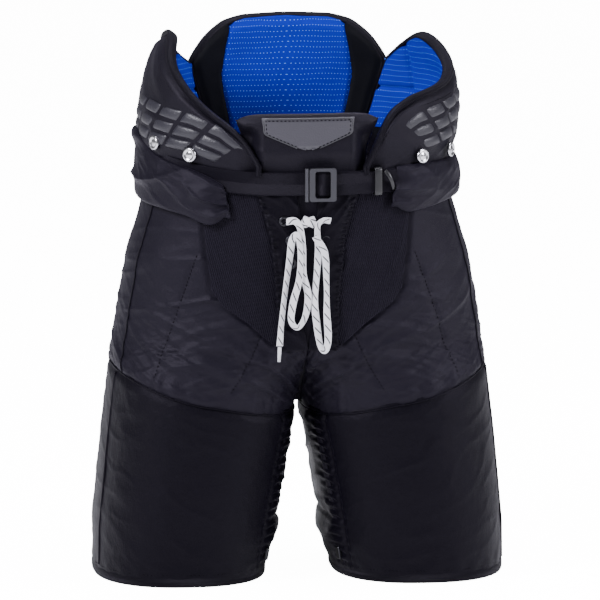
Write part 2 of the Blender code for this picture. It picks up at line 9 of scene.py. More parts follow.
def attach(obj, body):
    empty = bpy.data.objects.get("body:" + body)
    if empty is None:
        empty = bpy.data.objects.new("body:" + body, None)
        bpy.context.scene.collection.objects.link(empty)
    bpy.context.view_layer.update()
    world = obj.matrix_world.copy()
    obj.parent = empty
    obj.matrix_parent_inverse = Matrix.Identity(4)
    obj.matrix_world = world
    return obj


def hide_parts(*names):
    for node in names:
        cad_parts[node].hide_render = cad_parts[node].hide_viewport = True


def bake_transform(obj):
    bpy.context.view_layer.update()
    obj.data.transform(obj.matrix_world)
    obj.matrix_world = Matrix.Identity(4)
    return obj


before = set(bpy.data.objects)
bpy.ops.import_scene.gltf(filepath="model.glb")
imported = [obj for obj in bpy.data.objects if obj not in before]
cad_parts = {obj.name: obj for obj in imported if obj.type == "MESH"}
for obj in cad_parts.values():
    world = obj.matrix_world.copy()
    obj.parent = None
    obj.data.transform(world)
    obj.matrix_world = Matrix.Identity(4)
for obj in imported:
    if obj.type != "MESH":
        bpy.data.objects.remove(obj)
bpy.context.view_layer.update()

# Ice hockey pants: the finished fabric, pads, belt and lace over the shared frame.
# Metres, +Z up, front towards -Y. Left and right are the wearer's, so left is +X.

SHIFT_Y = 0.0012
CORNER_POWER = 2.4
SIDES = (("left", 1), ("right", -1))
UP = (0, 0, 1.0)
FORWARD = (0, -1.0, 0)

# Metres of fabric for each degree round the hips and round a leg
HIP_ARC = 0.0026
LEG_ARC = 0.0018

# Half widths and depths of the hip section and of a leg, by height
HIP_WIDTHS = (
    (0.185, 0.205), (0.252, 0.199), (0.301, 0.192), (0.350, 0.183), (0.385, 0.172),
    (0.420, 0.162), (0.455, 0.160), (0.500, 0.159), (0.535, 0.153), (0.560, 0.144),
    (0.576, 0.134), (0.590, 0.122),
)
HIP_DEPTHS = ((0.185, 0.118), (0.400, 0.117), (0.500, 0.112), (0.600, 0.106))
LEG_OUTERS = ((0.0, 0.2195), (0.055, 0.2190), (0.105, 0.2145), (0.154, 0.2100), (0.235, 0.2005))
LEG_DEPTHS = ((0.0, 0.112), (0.100, 0.116), (0.235, 0.115))
HIP_TOP = 0.432
SHARE_OF_HIP = 0.70          # of the way down a fabric half before it turns into the leg

# Angles of the two stitched lines on the hip fabric, at the waist and at the thigh seam
STITCH_LINES = ((47.0, 63.0), (11.0, 43.0))
STITCH_LENGTH = 0.0027
STITCH_GAP = 0.0016
STITCH_SIZE = 0.0006
HIP_PIPING_ANGLE = 77.0
LEG_PIPING_ANGLE = 74.0
ZIP_ANGLE = -62.0
LEG_FOOT = 0.0035
RIB_FOOT = 0.262
GUSSET_HALF = 0.0095

BELT_WIDTH = 0.025
BELT_Z_FRONT = 0.438
KEEPER_X = 0.073
# The free edges of the waist flaps: height by angle from the front, or from the back
FIN_TOPS = {
    "left": (
        (18, 0.454), (22, 0.470), (26, 0.497), (31, 0.514), (43, 0.5265), (67, 0.534), (85, 0.545),
        (95, 0.556), (105, 0.565), (112, 0.5675), (120, 0.564), (130, 0.554), (139, 0.540),
    ),
    "right": (
        (14, 0.454), (20, 0.484), (26, 0.498), (41, 0.521), (54, 0.541), (68, 0.560), (80, 0.577),
        (90, 0.583), (104, 0.574), (125, 0.555), (139, 0.538),
    ),
}
FIN_START = {"left": 18.5, "right": 15.0}
BACK_TOP = ((0, 0.586), (17, 0.584), (26, 0.578), (33, 0.562), (38, 0.539), (40, 0.530))
BACK_EDGE = ((0.462, 154), (0.500, 149), (0.537, 142))
GUARD_HALF_ANGLE = ((0.430, 18.0), (0.475, 19.5), (0.500, 23.6), (0.512, 25.0))
# Lower and upper edges of the padded sleeves over the belt
SLEEVE_LOW = {
    "left": (
        (30, 0.4100), (34, 0.4020), (44, 0.4045), (60, 0.4080), (90, 0.4110), (130, 0.4130),
        (172, 0.4150),
    ),
    "right": (
        (27, 0.4030), (31, 0.3915), (36, 0.3940), (44, 0.4010), (60, 0.4050), (90, 0.4080),
        (130, 0.4130), (172, 0.4150),
    ),
}
SLEEVE_HIGH = {
    "left": ((30, 0.4535), (44, 0.4540), (60, 0.4525), (90, 0.4510), (130, 0.455), (172, 0.458)),
    "right": (
        (27, 0.4335), (34, 0.4440), (44, 0.4520), (60, 0.4585), (74, 0.4665), (87, 0.4815),
        (97, 0.4825), (112, 0.4725), (140, 0.4630), (172, 0.4580),
    ),
}
FLAP_FOOT = 0.432            # the flaps' fabric starts behind the belt
PAD_OFFSET = 0.0088          # from the hip surface to the outer side of a padded flap
TRIM_FOOT = 0.447            # the flaps' bindings start here, behind the belt
MESH_FOOT = 0.464            # below this the lining of a fin is plain black

PATCH_LOW = 0.4755
PATCH_HIGH = 0.5085
EYELETS = ((0.026, 0.398), (0.019, 0.377), (0.018, 0.352))
SNAP_ANGLES = (44, 66)
LACE_WIDTH = 0.0078
KNOT_Z = 0.398

# Rows of light dots on the blue mesh, and the dots in a row
DOT_ROWS = 0.0059
DOT_SPACING = 0.0034

# Stage
CAMERA_LENS = 1120           # millimetres
CAMERA_TARGET = (0.0035, 0, 0.2916)
CAMERA_ANGLES = (-6.0, 10.0)
CAMERA_DISTANCE = 20.07
LIGHT_COLOR = (0.93, 0.92, 1.0)
FLOOR_HALF = 12.0
FLOOR_Z = -0.0005
SEEN_GLOW = 14.0             # what only the camera sees of the floor and the world


# ---------------------------------------------------------------- surfaces

def grid(across, up):
    return np.meshgrid(across, up, indexing="ij")


def shares(count):
    """Evenly spaced values from 0 to 1."""
    return np.linspace(0, 1, count)


def all_round(count, first=-180):
    """Angles round a closed ring."""
    return np.linspace(first, first + 360, count + 1)[:-1]


def unit(vectors):
    return vectors / np.maximum(np.linalg.norm(vectors, axis=-1, keepdims=True), 1e-12)


def outward(across):
    """Level directions at right angles to lines that run round the object."""
    return unit(np.stack([across[:, 1], -across[:, 0], 0 * across[:, 0]], 1))


def lengths_along(path):
    return np.concatenate([[0], np.cumsum(np.linalg.norm(np.diff(path, axis=0), axis=1))])


def curve_of(table):
    """A table of (value, result) pairs as a smooth function of arrays."""
    spots = np.linspace(table[0][0], table[-1][0], 401)
    rough = np.interp(spots, *zip(*table))
    width = 15
    padded = np.concatenate([
        2 * rough[0] - rough[width:0:-1], rough, 2 * rough[-1] - rough[-2:-width - 2:-1]])
    window = np.hanning(2 * width + 1)
    smooth = np.convolve(padded, window / window.sum(), "valid")
    return lambda value: np.interp(value, spots, smooth)


hip_width = curve_of(HIP_WIDTHS)
hip_depth = curve_of(HIP_DEPTHS)
leg_outer = curve_of(LEG_OUTERS)
leg_depth = curve_of(LEG_DEPTHS)
fin_tops = {name: curve_of(table) for name, table in FIN_TOPS.items()}
back_top = curve_of(BACK_TOP)
back_edge = curve_of(BACK_EDGE)
guard_half_angle = curve_of(GUARD_HALF_ANGLE)


def rounded(value):
    return np.sign(value) * np.abs(value) ** (2 / CORNER_POWER)


def stack(x, y, z):
    return np.stack(np.broadcast_arrays(x, y, z), axis=-1).astype(float)


def hip(angle, z):
    turn = np.radians(angle)
    x = hip_width(z) * rounded(np.sin(turn))
    return stack(x, SHIFT_Y - hip_depth(z) * rounded(np.cos(turn)), z)


def hip_angle(x, z):
    share = np.clip(np.abs(x) / hip_width(z), 0, 1)
    return np.sign(x) * np.degrees(np.arcsin(share ** (CORNER_POWER / 2)))


def leg(angle, z):
    turn = np.radians(angle)
    inner = np.maximum(0.004, 0.038 - 0.19 * np.asarray(z))
    outer = leg_outer(z)
    x = (inner + outer) / 2 + (outer - inner) / 2 * rounded(np.sin(turn))
    return stack(x, SHIFT_Y - leg_depth(z) * rounded(np.cos(turn)), z)


def leg_edge(angle):
    return 0.183 + 0.049 * ((1 + np.sin(np.radians(angle))) / 2) ** 1.6


def hip_edge(angle):
    return 0.254 + 0.014 * np.cos(np.radians(angle))


def belt_z(angle):
    """Height of the middle of the belt. It rises from the buckle, more on the right than on the left."""
    share = np.clip(np.abs((np.asarray(angle) + 180) % 360 - 180) / 95, 0, 1)
    rise = 0.012 - 0.009 * np.sin(np.radians(angle))
    return BELT_Z_FRONT + rise * share * share * (3 - 2 * share)


def half_point(angle, down):
    """One half of the hip fabric: down is 0 at the waist and 1 at the thigh panel's seam."""
    turned = angle * 2 - 90
    share_out = np.clip((1 + rounded(np.sin(np.radians(turned)))) / 2, 0, 1)
    above = np.degrees(np.arcsin(share_out ** (CORNER_POWER / 2)))
    above = np.where(angle <= 90, above, 180 - above)
    edge = hip_edge(above)
    upper = hip(above, HIP_TOP + (edge - HIP_TOP) * np.clip(down / SHARE_OF_HIP, 0, 1))
    share = np.clip((down - SHARE_OF_HIP) / (1 - SHARE_OF_HIP), 0, 1)[..., None]
    low = leg(turned, leg_edge(turned) - 0.003)
    high = hip(above, edge)
    lower = high + (low - high) * share ** 2 * (3 - 2 * share)
    lower[..., 2] = high[..., 2] + (low[..., 2] - high[..., 2]) * share[..., 0]
    return np.where(share > 0, lower, upper)


# ---------------------------------------------------------------- cloth relief

def fractal(a, b, scale, seed, stretch=(1.0, 1.0), slant=0.0):
    """Smooth noise about -1 to 1. stretch lengthens its features along the slanted direction."""
    a, b = np.broadcast_arrays(a, b)
    c, s = math.cos(math.radians(slant)), math.sin(math.radians(slant))
    along = (a * c + b * s) / (scale * stretch[0])
    across = (-a * s + b * c) / (scale * stretch[1])
    flat = [noise.noise(Vector((p, q, seed))) + 0.4 * noise.noise(Vector((2.1 * p, 2.1 * q, seed + 9)))
            for p, q in zip(along.ravel(), across.ravel())]
    return np.array(flat).reshape(a.shape)


def folds(a, b, scale, seed, stretch, slant):
    """Sharp-topped folds, 0 to 1, in a direction."""
    return np.clip(1 - 2.6 * np.abs(fractal(a, b, scale, seed, stretch, slant)), 0, 1) ** 1.6


def near(value, centre, width):
    return np.exp(-((value - centre) / width) ** 2)


def step(value, low, high):
    t = np.clip((value - low) / (high - low), 0, 1)
    return t * t * (3 - 2 * t)


def ends(share, width):
    """0 at both ends of the range 0 to 1, and 1 further in."""
    return np.minimum(step(share, 0, width), step(1 - share, 0, width))


# ---------------------------------------------------------------- building pieces

def dress(piece, slot, *nodes, soft=None):
    """Hide the CAD nodes that the piece replaces. The slot and soft arguments are not used."""
    if nodes:
        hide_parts(*nodes)


def add_object(name, data):
    made = bpy.data.objects.new(name, data)
    bpy.context.scene.collection.objects.link(made)
    return made


def mesh_object(name, builder, finish):
    mesh = bpy.data.meshes.new(name)
    builder.to_mesh(mesh)
    builder.free()
    mesh.materials.append(finish)
    return add_object(name, mesh)


def grid_normals(points, ring=False):
    if ring:
        wide = np.concatenate([points[-1:], points, points[:1]])
        across = wide[2:] - wide[:-2]
    else:
        across = np.gradient(points, axis=0)
    return unit(np.cross(across, np.gradient(points, axis=1)))


def cloth(name, points, thickness, finish, coords, push=0.0, ring=False, side=1, mask=0.0):
    """A closed sheet of fabric with rolled edges, from a grid of points on its outer side.

    push moves the outer side along its normal. coords are (across, up) in metres for the weave.
    """
    points = points + grid_normals(points, ring) * (push + np.zeros(points.shape[:2]))[..., None]
    back = points - grid_normals(points, ring) * thickness
    count, rows = points.shape[:2]
    builder = bmesh.new()
    outer = add_grid(builder, points, side)
    inner = add_grid(builder, back, side)
    layer = builder.loops.layers.uv.new("weave")
    shade = builder.loops.layers.float_color.new("mask")
    across, up = np.broadcast_arrays(*coords)
    values = np.broadcast_to(np.asarray(mask, float), (count, rows))
    places = {}
    for i in range(count):
        for j in range(rows):
            places[outer[i][j]] = (across[i, j], up[i, j], values[i, j])
            places[inner[i][j]] = places[outer[i][j]]
    for i in range(count if ring else count - 1):
        k = (i + 1) % count
        for j in range(rows - 1):
            builder.faces.new((outer[i][j], outer[k][j], outer[k][j + 1], outer[i][j + 1]))
            builder.faces.new((inner[i][j + 1], inner[k][j + 1], inner[k][j], inner[i][j]))
    for spots, line in rim_lines(points, back, thickness, ring):
        middle = [builder.verts.new((p[0] * side, p[1], p[2])) for p in line]
        for vert, (i, j) in zip(middle, spots):
            places[vert] = places[outer[i][j]]
        for n in range(len(spots) - (0 if ring else 1)):
            (i, j), (k, m) = spots[n], spots[(n + 1) % len(spots)]
            following = middle[(n + 1) % len(spots)]
            builder.faces.new((outer[i][j], outer[k][m], following, middle[n]))
            builder.faces.new((middle[n], following, inner[k][m], inner[i][j]))
    if not ring:
        close_corners(builder)
    for face in builder.faces:
        face.smooth = True
        for loop in face.loops:
            a, b, c = places[loop.vert]
            loop[layer].uv = (a, b)
            loop[shade] = (c, c, c, 1)
    return finish_mesh(name, builder, finish)


def rim_lines(points, back, thickness, ring):
    """Points half way through each free edge, pushed out a little so that the edge is round."""
    count, rows = points.shape[:2]
    middle = (points + back) / 2
    pairs = []
    for j, inner in ((0, 1), (rows - 1, rows - 2)):
        pairs.append(([(i, j) for i in range(count)], [(i, inner) for i in range(count)]))
    if not ring:
        for i, inner in ((0, 1), (count - 1, count - 2)):
            pairs.append(([(i, j) for j in range(rows)], [(inner, j) for j in range(rows)]))
    lines = []
    for spots, inward in pairs:
        here = np.array([middle[s] for s in spots])
        out = unit(here - np.array([middle[s] for s in inward]))
        lines.append((spots, here + out * thickness * 0.4))
    return lines


def close_corners(builder):
    loose = [e for e in builder.edges if len(e.link_faces) == 1]
    if loose:
        bmesh.ops.holes_fill(builder, edges=loose, sides=8)


def add_grid(builder, points, side):
    return [[builder.verts.new((p[0] * side, p[1], p[2])) for p in line] for line in points]


def finish_mesh(name, builder, finish):
    bmesh.ops.recalc_face_normals(builder, faces=builder.faces)
    return mesh_object(name, builder, finish)


def join(pieces, name):
    builder = bmesh.new()
    finish = pieces[0].data.materials[0]
    for piece in pieces:
        builder.from_mesh(piece.data)
    for piece in pieces:
        bpy.data.objects.remove(piece, do_unlink=True)
    return mesh_object(name, builder, finish)


def band(name, path, ups, width, height, finish, ring=False, sides=10, power=2.0):
    """A flat or round band along a path: width runs along ups, height at right angles to it.

    The weave's coordinates run across the band and along it, in metres.
    """
    path = np.asarray(path, float)
    ups = np.broadcast_to(ups, path.shape).astype(float)
    ahead = unit(np.roll(path, -1, 0) - np.roll(path, 1, 0) if ring else np.gradient(path, axis=0))
    ups = unit(ups - ahead * (ups * ahead).sum(1, keepdims=True))
    flat = np.cross(ahead, ups)
    gone = lengths_along(path)
    builder = bmesh.new()
    layer = builder.loops.layers.uv.new("weave")
    corners = []
    for k in range(sides):
        parts = math.cos(2 * math.pi * k / sides), math.sin(2 * math.pi * k / sides)
        corners.append([math.copysign(abs(part) ** (2 / power), part) for part in parts])
    rings = []
    count = len(path)
    for i in range(count):
        rings.append([
            (builder.verts.new(path[i] + ups[i] * c * width / 2 + flat[i] * s * height / 2), c * width / 2)
            for c, s in corners])
    for i in range(count if ring else count - 1):
        first, second = rings[i], rings[(i + 1) % count]
        following = gone[i + 1] if i + 1 < count else gone[-1] + 0.001
        for k in range(sides):
            m = (k + 1) % sides
            quad = ((*first[k], gone[i]), (*first[m], gone[i]),
                    (*second[m], following), (*second[k], following))
            face = builder.faces.new([vert for vert, _, _ in quad])
            face.smooth = True
            for loop, (_, across, along) in zip(face.loops, quad):
                loop[layer].uv = (across, along)
    if not ring:
        builder.faces.new([v for v, _ in rings[0]])
        builder.faces.new([v for v, _ in reversed(rings[-1])])
    return finish_mesh(name, builder, finish)


def stitches(name, path, normals, finish):
    """A row of thread stitches along a path, as one piece."""
    normals = np.broadcast_to(normals, path.shape)
    gone = lengths_along(path)
    builder = bmesh.new()

    def between(values, at):
        return np.array([np.interp(at, gone, values[:, k]) for k in range(3)])

    at = STITCH_GAP
    while at + STITCH_LENGTH < gone[-1]:
        spots = [between(path, at + part) for part in (0, STITCH_LENGTH / 2, STITCH_LENGTH)]
        up = between(normals, at)
        across = unit(np.cross(spots[2] - spots[0], up))
        rings = []
        for spot, size in zip(spots, (0.35 * STITCH_SIZE, STITCH_SIZE, 0.35 * STITCH_SIZE)):
            rings.append([builder.verts.new(spot + across * size * c + up * (size * s - 0.1 * STITCH_SIZE))
                          for c, s in ((1, 0), (0.5, 0.8), (-0.5, 0.8), (-1, 0), (0, -0.8))])
        for first, second in zip(rings, rings[1:]):
            for k in range(5):
                m = (k + 1) % 5
                builder.faces.new((first[k], first[m], second[m], second[k]))
        builder.faces.new(rings[0])
        builder.faces.new(rings[2][::-1])
        at += STITCH_LENGTH + STITCH_GAP
    for face in builder.faces:
        face.smooth = True
    return finish_mesh(name, builder, finish)


def lathe(name, profile, at, facing, finish, closed=False):
    """A turned piece: profile is (radius, height) pairs with height along facing."""
    steps = 40
    builder = bmesh.new()
    turn_to = Vector(facing).to_track_quat("Z", "Y").to_matrix()
    rings = []
    for radius, height in profile:
        angles = [0] if radius == 0 else [2 * math.pi * k / steps for k in range(steps)]
        spots = [Vector((radius * math.cos(a), radius * math.sin(a), height)) for a in angles]
        rings.append([builder.verts.new(Vector(at) + turn_to @ spot) for spot in spots])
    pairs = list(zip(rings, rings[1:])) + ([(rings[-1], rings[0])] if closed else [])
    for first, second in pairs:
        for k in range(steps):
            corners = [first[k % len(first)], first[(k + 1) % len(first)],
                       second[(k + 1) % len(second)], second[k % len(second)]]
            face = builder.faces.new(list(dict.fromkeys(corners)))
            face.smooth = True
    return finish_mesh(name, builder, finish)


def eased_copy(node, name, finish, width):
    """A hard CAD piece with rounded edges."""
    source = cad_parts[node]
    made = source.copy()
    made.data = source.data.copy()
    made.name = name
    bpy.context.scene.collection.objects.link(made)
    made.parent = None
    made.matrix_world = source.matrix_world.copy()
    bevel = made.modifiers.new("edge", "BEVEL")
    bevel.width = width
    bevel.segments = 3
    bevel.limit_method = "ANGLE"
    bevel.angle_limit = math.radians(25)
    bpy.context.view_layer.update()
    mesh = bpy.data.meshes.new_from_object(made.evaluated_get(bpy.context.evaluated_depsgraph_get()))
    made.modifiers.clear()
    made.data = mesh
    mesh.materials.clear()
    mesh.materials.append(finish)
    mesh.shade_smooth()
    mesh.set_sharp_from_angle(angle=math.radians(40))
    return made


# ---------------------------------------------------------------- materials

class Nodes:
    """Short calls for the nodes of one material."""

    def __init__(self, name, color, roughness, metallic=0.0):
        self.material = bpy.data.materials.new(name)
        self.material.use_nodes = True
        self.tree = self.material.node_tree
        self.shader = self.tree.nodes["Principled BSDF"]
        self.set("Base Color", (*color, 1))
        self.set("Roughness", roughness)
        self.set("Metallic", metallic)

    def set(self, socket, value):
        self.shader.inputs[socket].default_value = value

    def add(self, kind, **settings):
        node = self.tree.nodes.new(kind)
        for key, value in settings.items():
            setattr(node, key, value)
        return node

    def link(self, start, end):
        self.tree.links.new(start, end)

    def weave(self):
        return self.add("ShaderNodeUVMap", uv_map="weave").outputs["UV"]

    def math(self, operation, first, second=None):
        node = self.add("ShaderNodeMath", operation=operation)
        for socket, value in zip(node.inputs, (first, second)):
            if value is None:
                continue
            if isinstance(value, (int, float)):
                socket.default_value = value
            else:
                self.link(value, socket)
        return node.outputs[0]

    def wave(self, value, pitch):
        """A sine wave that repeats every pitch metres."""
        return self.math("SINE", self.math("MULTIPLY", value, 2 * math.pi / pitch))

    def split(self, vector):
        node = self.add("ShaderNodeSeparateXYZ")
        self.link(vector, node.inputs[0])
        return node.outputs

    def noise(self, vector, scale, detail=3.0):
        node = self.add("ShaderNodeTexNoise")
        node.inputs["Scale"].default_value = scale
        node.inputs["Detail"].default_value = detail
        self.link(vector, node.inputs["Vector"])
        return node.outputs["Fac"]

    def solid(self):
        return self.add("ShaderNodeTexCoord").outputs["Object"]

    def paint(self, color):
        self.link(color, self.shader.inputs["Base Color"])

    def bump(self, height, strength, distance, onto=None):
        node = self.add("ShaderNodeBump")
        node.inputs["Strength"].default_value = strength
        node.inputs["Distance"].default_value = distance
        self.link(height, node.inputs["Height"])
        if onto is not None:
            self.link(onto, node.inputs["Normal"])
        return node.outputs["Normal"]

    def finish(self, normal=None):
        if normal is not None:
            self.link(normal, self.shader.inputs["Normal"])
        return self.material

    def sheen(self, weight, tint, roughness=0.4):
        self.set("Sheen Weight", weight)
        self.set("Sheen Tint", (*tint, 1))
        self.set("Sheen Roughness", roughness)

    def mix(self, factor, first, second):
        node = self.add("ShaderNodeMix", data_type="RGBA")
        for socket, value in ((node.inputs[0], factor), (node.inputs[6], first), (node.inputs[7], second)):
            if isinstance(value, tuple):
                socket.default_value = (*value, 1)
            elif isinstance(value, (int, float)):
                socket.default_value = value
            else:
                self.link(value, socket)
        return node.outputs[2]


def plain_weave(nodes, across, up):
    """The height of a plain weave, from the spacing of its threads each way in metres."""
    parts = nodes.split(nodes.weave())
    return nodes.math("MULTIPLY", nodes.wave(parts[0], across), nodes.wave(parts[1], up))


def slanting_threads(nodes, pitch):
    """The height of threads that slant away from the middle of a band."""
    parts = nodes.split(nodes.weave())
    return nodes.wave(nodes.math("ADD", nodes.math("ABSOLUTE", parts[0]), parts[1]), pitch)


def dark_cloth(nodes, shine):
    """The faint violet sheen that all the black fabrics share."""
    nodes.sheen(0.22 * shine, (0.56, 0.48, 0.76), 0.45)
    nodes.set("Specular IOR Level", shine)
    nodes.set("Specular Tint", (0.90, 0.83, 1.0, 1))


def nylon(name, color=(0.0044, 0.0037, 0.0072), crinkle=0.30, roughness=0.52, shine=0.165):
    nodes = Nodes(name, color, roughness)
    dark_cloth(nodes, shine)
    rough = nodes.bump(nodes.noise(nodes.solid(), 110, 4), crinkle, 0.0014)
    fine = nodes.bump(nodes.noise(nodes.solid(), 700, 2), 0.50, 0.0007, rough)
    return nodes.finish(nodes.bump(plain_weave(nodes, 0.0011, 0.0011), 0.20, 0.0003, fine))


def knit(name):
    nodes = Nodes(name, (0.0050, 0.0047, 0.0065), 0.85)
    dark_cloth(nodes, 0.15)
    parts = nodes.split(nodes.weave())
    ribs = nodes.math("ABSOLUTE", nodes.wave(parts[0], 0.0044))
    loops = nodes.math("ABSOLUTE", nodes.wave(parts[1], 0.0032))
    height = nodes.math("ADD", ribs, nodes.math("MULTIPLY", loops, 0.25))
    # The colour follows the rib height: painted shade in the grooves between the ribs and a painted highlight
    # on their tops.
    nodes.paint(nodes.mix(ribs, (0.0012, 0.0010, 0.0020), (0.0066, 0.0056, 0.0105)))
    return nodes.finish(nodes.bump(height, 0.8, 0.0009))


def tape(name, color=(0.0034, 0.0029, 0.0052), pitch=0.0016, roughness=0.5):
    """Webbing and binding tape: small slanting threads."""
    nodes = Nodes(name, color, roughness)
    dark_cloth(nodes, 0.11)
    return nodes.finish(nodes.bump(slanting_threads(nodes, pitch), 0.5, 0.0005))


def blue_mesh(name):
    """A cobalt mesh with rows of small light dots. The masked part is plain black."""
    nodes = Nodes(name, (0.004, 0.05, 0.45), 0.62)
    nodes.sheen(0.03, (0.10, 0.30, 1.0), 0.5)
    nodes.set("Specular IOR Level", 0.10)
    parts = nodes.split(nodes.weave())
    wander = nodes.math("MULTIPLY", nodes.noise(nodes.weave(), 30, 1), 0.0030)
    row = nodes.math("DIVIDE", nodes.math("ADD", parts[1], wander), DOT_ROWS)
    shift = nodes.math("MULTIPLY", nodes.math("FLOOR", row), 0.37)
    column = nodes.math("ADD", nodes.math("DIVIDE", parts[0], DOT_SPACING), shift)
    squares = []
    for place, reach in ((column, 0.18), (row, 0.090)):
        centred = nodes.math("SUBTRACT", nodes.math("FRACT", place), 0.5)
        squares.append(nodes.math("POWER", nodes.math("DIVIDE", centred, reach), 2.0))
    dot = nodes.math("LESS_THAN", nodes.math("ADD", *squares), 1.0)
    holes = plain_weave(nodes, 0.00105, 0.0014)
    dark = nodes.math("GREATER_THAN", holes, 0.35)
    ground = nodes.mix(dark, (0.0006, 0.019, 0.47), (0.0003, 0.009, 0.28))
    blue = nodes.mix(nodes.math("MULTIPLY", dot, 0.70), ground, (0.20, 0.42, 1.0))
    mask = nodes.add("ShaderNodeAttribute", attribute_name="mask").outputs["Fac"]
    nodes.paint(nodes.mix(nodes.math("GREATER_THAN", mask, 0.5), blue, (0.0040, 0.0040, 0.0055)))
    return nodes.finish(nodes.bump(holes, 0.35, 0.0006))


def leather(name, color, roughness=0.42):
    nodes = Nodes(name, color, roughness)
    nodes.set("Specular IOR Level", 0.5)
    cells = nodes.add("ShaderNodeTexVoronoi", feature="F1")
    cells.inputs["Scale"].default_value = 620
    nodes.link(nodes.solid(), cells.inputs["Vector"])
    grain = nodes.bump(cells.outputs["Distance"], 0.30, 0.0006)
    return nodes.finish(nodes.bump(nodes.noise(nodes.solid(), 120, 3), 0.18, 0.0010, grain))


def metal(name, color, roughness, scratch=0.05):
    nodes = Nodes(name, color, roughness, 1.0)
    return nodes.finish(nodes.bump(nodes.noise(nodes.solid(), 420, 3), scratch, 0.0004))


def lace_finish(name):
    """White flat braid with a thin black slanting dash woven in."""
    nodes = Nodes(name, (0.90, 0.90, 0.93), 0.8)
    nodes.sheen(0.3, (1, 1, 1), 0.5)
    parts = nodes.split(nodes.weave())
    slanted = nodes.math("ADD", parts[1], nodes.math("MULTIPLY", parts[0], 1.3))
    place = nodes.math("FRACT", nodes.math("DIVIDE", slanted, 0.0125))
    dash = nodes.math("LESS_THAN", nodes.math("ABSOLUTE", nodes.math("SUBTRACT", place, 0.5)), 0.085)
    middle = nodes.math("LESS_THAN", nodes.math("ABSOLUTE", parts[0]), 0.0030)
    nodes.paint(nodes.mix(nodes.math("MULTIPLY", dash, middle), (0.90, 0.90, 0.94), (0.03, 0.03, 0.04)))
    return nodes.finish(nodes.bump(slanting_threads(nodes, 0.0011), 0.5, 0.0004))


def make_materials():
    clear = Nodes("clear_sleeve", (0.75, 0.76, 0.80), 0.2)
    clear.set("Coat Weight", 0.5)
    return {
        "nylon": nylon("black_nylon"),
        "panel": nylon("black_nylon_panel", (0.0016, 0.0013, 0.0030), 0.55, 0.46, 0.105),
        "pad": nylon("black_nylon_pad", (0.0028, 0.0024, 0.0048), 0.25, 0.50, 0.18),
        "knit": knit("rib_knit"),
        "tape": tape("black_webbing"),
        "binding": tape("black_binding", (0.0022, 0.0019, 0.0036), 0.0012),
        "thread": tape("black_thread", (0.0012, 0.0010, 0.0020), 0.0012, 0.8),
        "light_thread": Nodes("grey_thread", (0.045, 0.045, 0.052), 0.5).finish(),
        "blue": blue_mesh("blue_mesh"),
        "lining": nylon("grey_lining", (0.012, 0.012, 0.015), 0.3, 0.8),
        "leather": leather("grey_leather", (0.048, 0.046, 0.057)),
        "segment": leather("dark_leather", (0.016, 0.015, 0.022), 0.42),
        "steel": metal("buckle_metal", (0.095, 0.095, 0.108), 0.36, 0.10),
        "chrome": metal("snap_metal", (0.72, 0.72, 0.75), 0.20),
        "dark_metal": metal("dark_metal", (0.045, 0.045, 0.050), 0.35),
        "plastic": Nodes("guard_plastic", (0.012, 0.012, 0.014), 0.35).finish(),
        "lace": lace_finish("white_lace"),
        "clear": clear.finish(),
    }


# ---------------------------------------------------------------- hips

def rib_edge(z):
    heights = (RIB_FOOT, 0.285, 0.305, 0.322, 0.360, 0.432)
    return np.interp(z, heights, (0.036, 0.062, 0.090, 0.102, 0.107, 0.113))


def placket_edge(z):
    return np.interp(z, (0.250, 0.330, 0.380, 0.432), (0.032, 0.036, 0.041, 0.057))


def bend(piece):
    """Bake the piece's placement into its mesh."""
    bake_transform(piece)


def half_relief(points, angle, down, side):
    """Folds of the hip fabric: long slanting creases, and gathers over the thigh seam."""
    length = angle * HIP_ARC
    z = points[..., 2]
    seed = 3.7 if side > 0 else 11.3
    broad = 0.0012 * fractal(length, z, 0.055, seed, (1.6, 1.0), 20)
    broad = broad + 0.0034 * near(down, 0.83, 0.16) * fractal(length, z, 0.032, seed + 30, (1.9, 1.0), -8)
    patches = 0.25 + 1.05 * step(fractal(length, z, 0.060, seed + 20), -0.15, 0.40)
    slant = 0.0032 * patches * folds(length, z, 0.034, seed + 2, (4.5, 0.8), 32)
    level = 0.0028 * (1.45 - patches) * folds(length, z, 0.030, seed + 5, (5.0, 0.8), -12)
    low = near(down, 0.85, 0.30)
    small = 0.0016 * folds(length, z, 0.015, seed + 7, (5.0, 0.7), 40) * (0.3 + 0.7 * low)
    small = small + 0.0016 * folds(length, z, 0.012, seed + 11, (4.0, 0.8), -22) * low
    for start, end in STITCH_LINES:
        small = small - 0.0012 * near(angle, start + (end - start) * down, 0.9) * step(down, 0.25, 0.40)
    gathers = fractal(length, down * 0.05, 0.008, seed + 8, (1.0, 3.5), 0)
    gathers = 0.0022 * near(down, 0.95, 0.07) * gathers
    bulge = 0.0010 * near(down, 0.82, 0.15) * step(np.abs(angle - 90), 90, 60)
    tuck = -0.0014 * step(down, 0.965, 1.0)
    fade = (1 - 0.75 * step(down, 0.90, 0.99)) * step(down, 0.02, 0.25)
    fade = fade * (0.55 + 0.45 * step(down, 0.15, 0.6))
    fade = fade * (0.40 + 0.60 * step(np.abs(angle - 90), 12, 40))
    edge = np.minimum(step(angle, 0, 6), step(180 - angle, 0, 6))
    folded = (broad + slant + level + small - 0.0021) * fade
    x, y = np.abs(points[..., 0]), points[..., 1]
    under = step(rib_edge(z) + 0.006 - x, 0, 0.004) * (y < 0) * (z > RIB_FOOT)
    return (folded * (1 - 0.9 * under) + gathers + bulge) * edge + tuck - 0.0032 * under


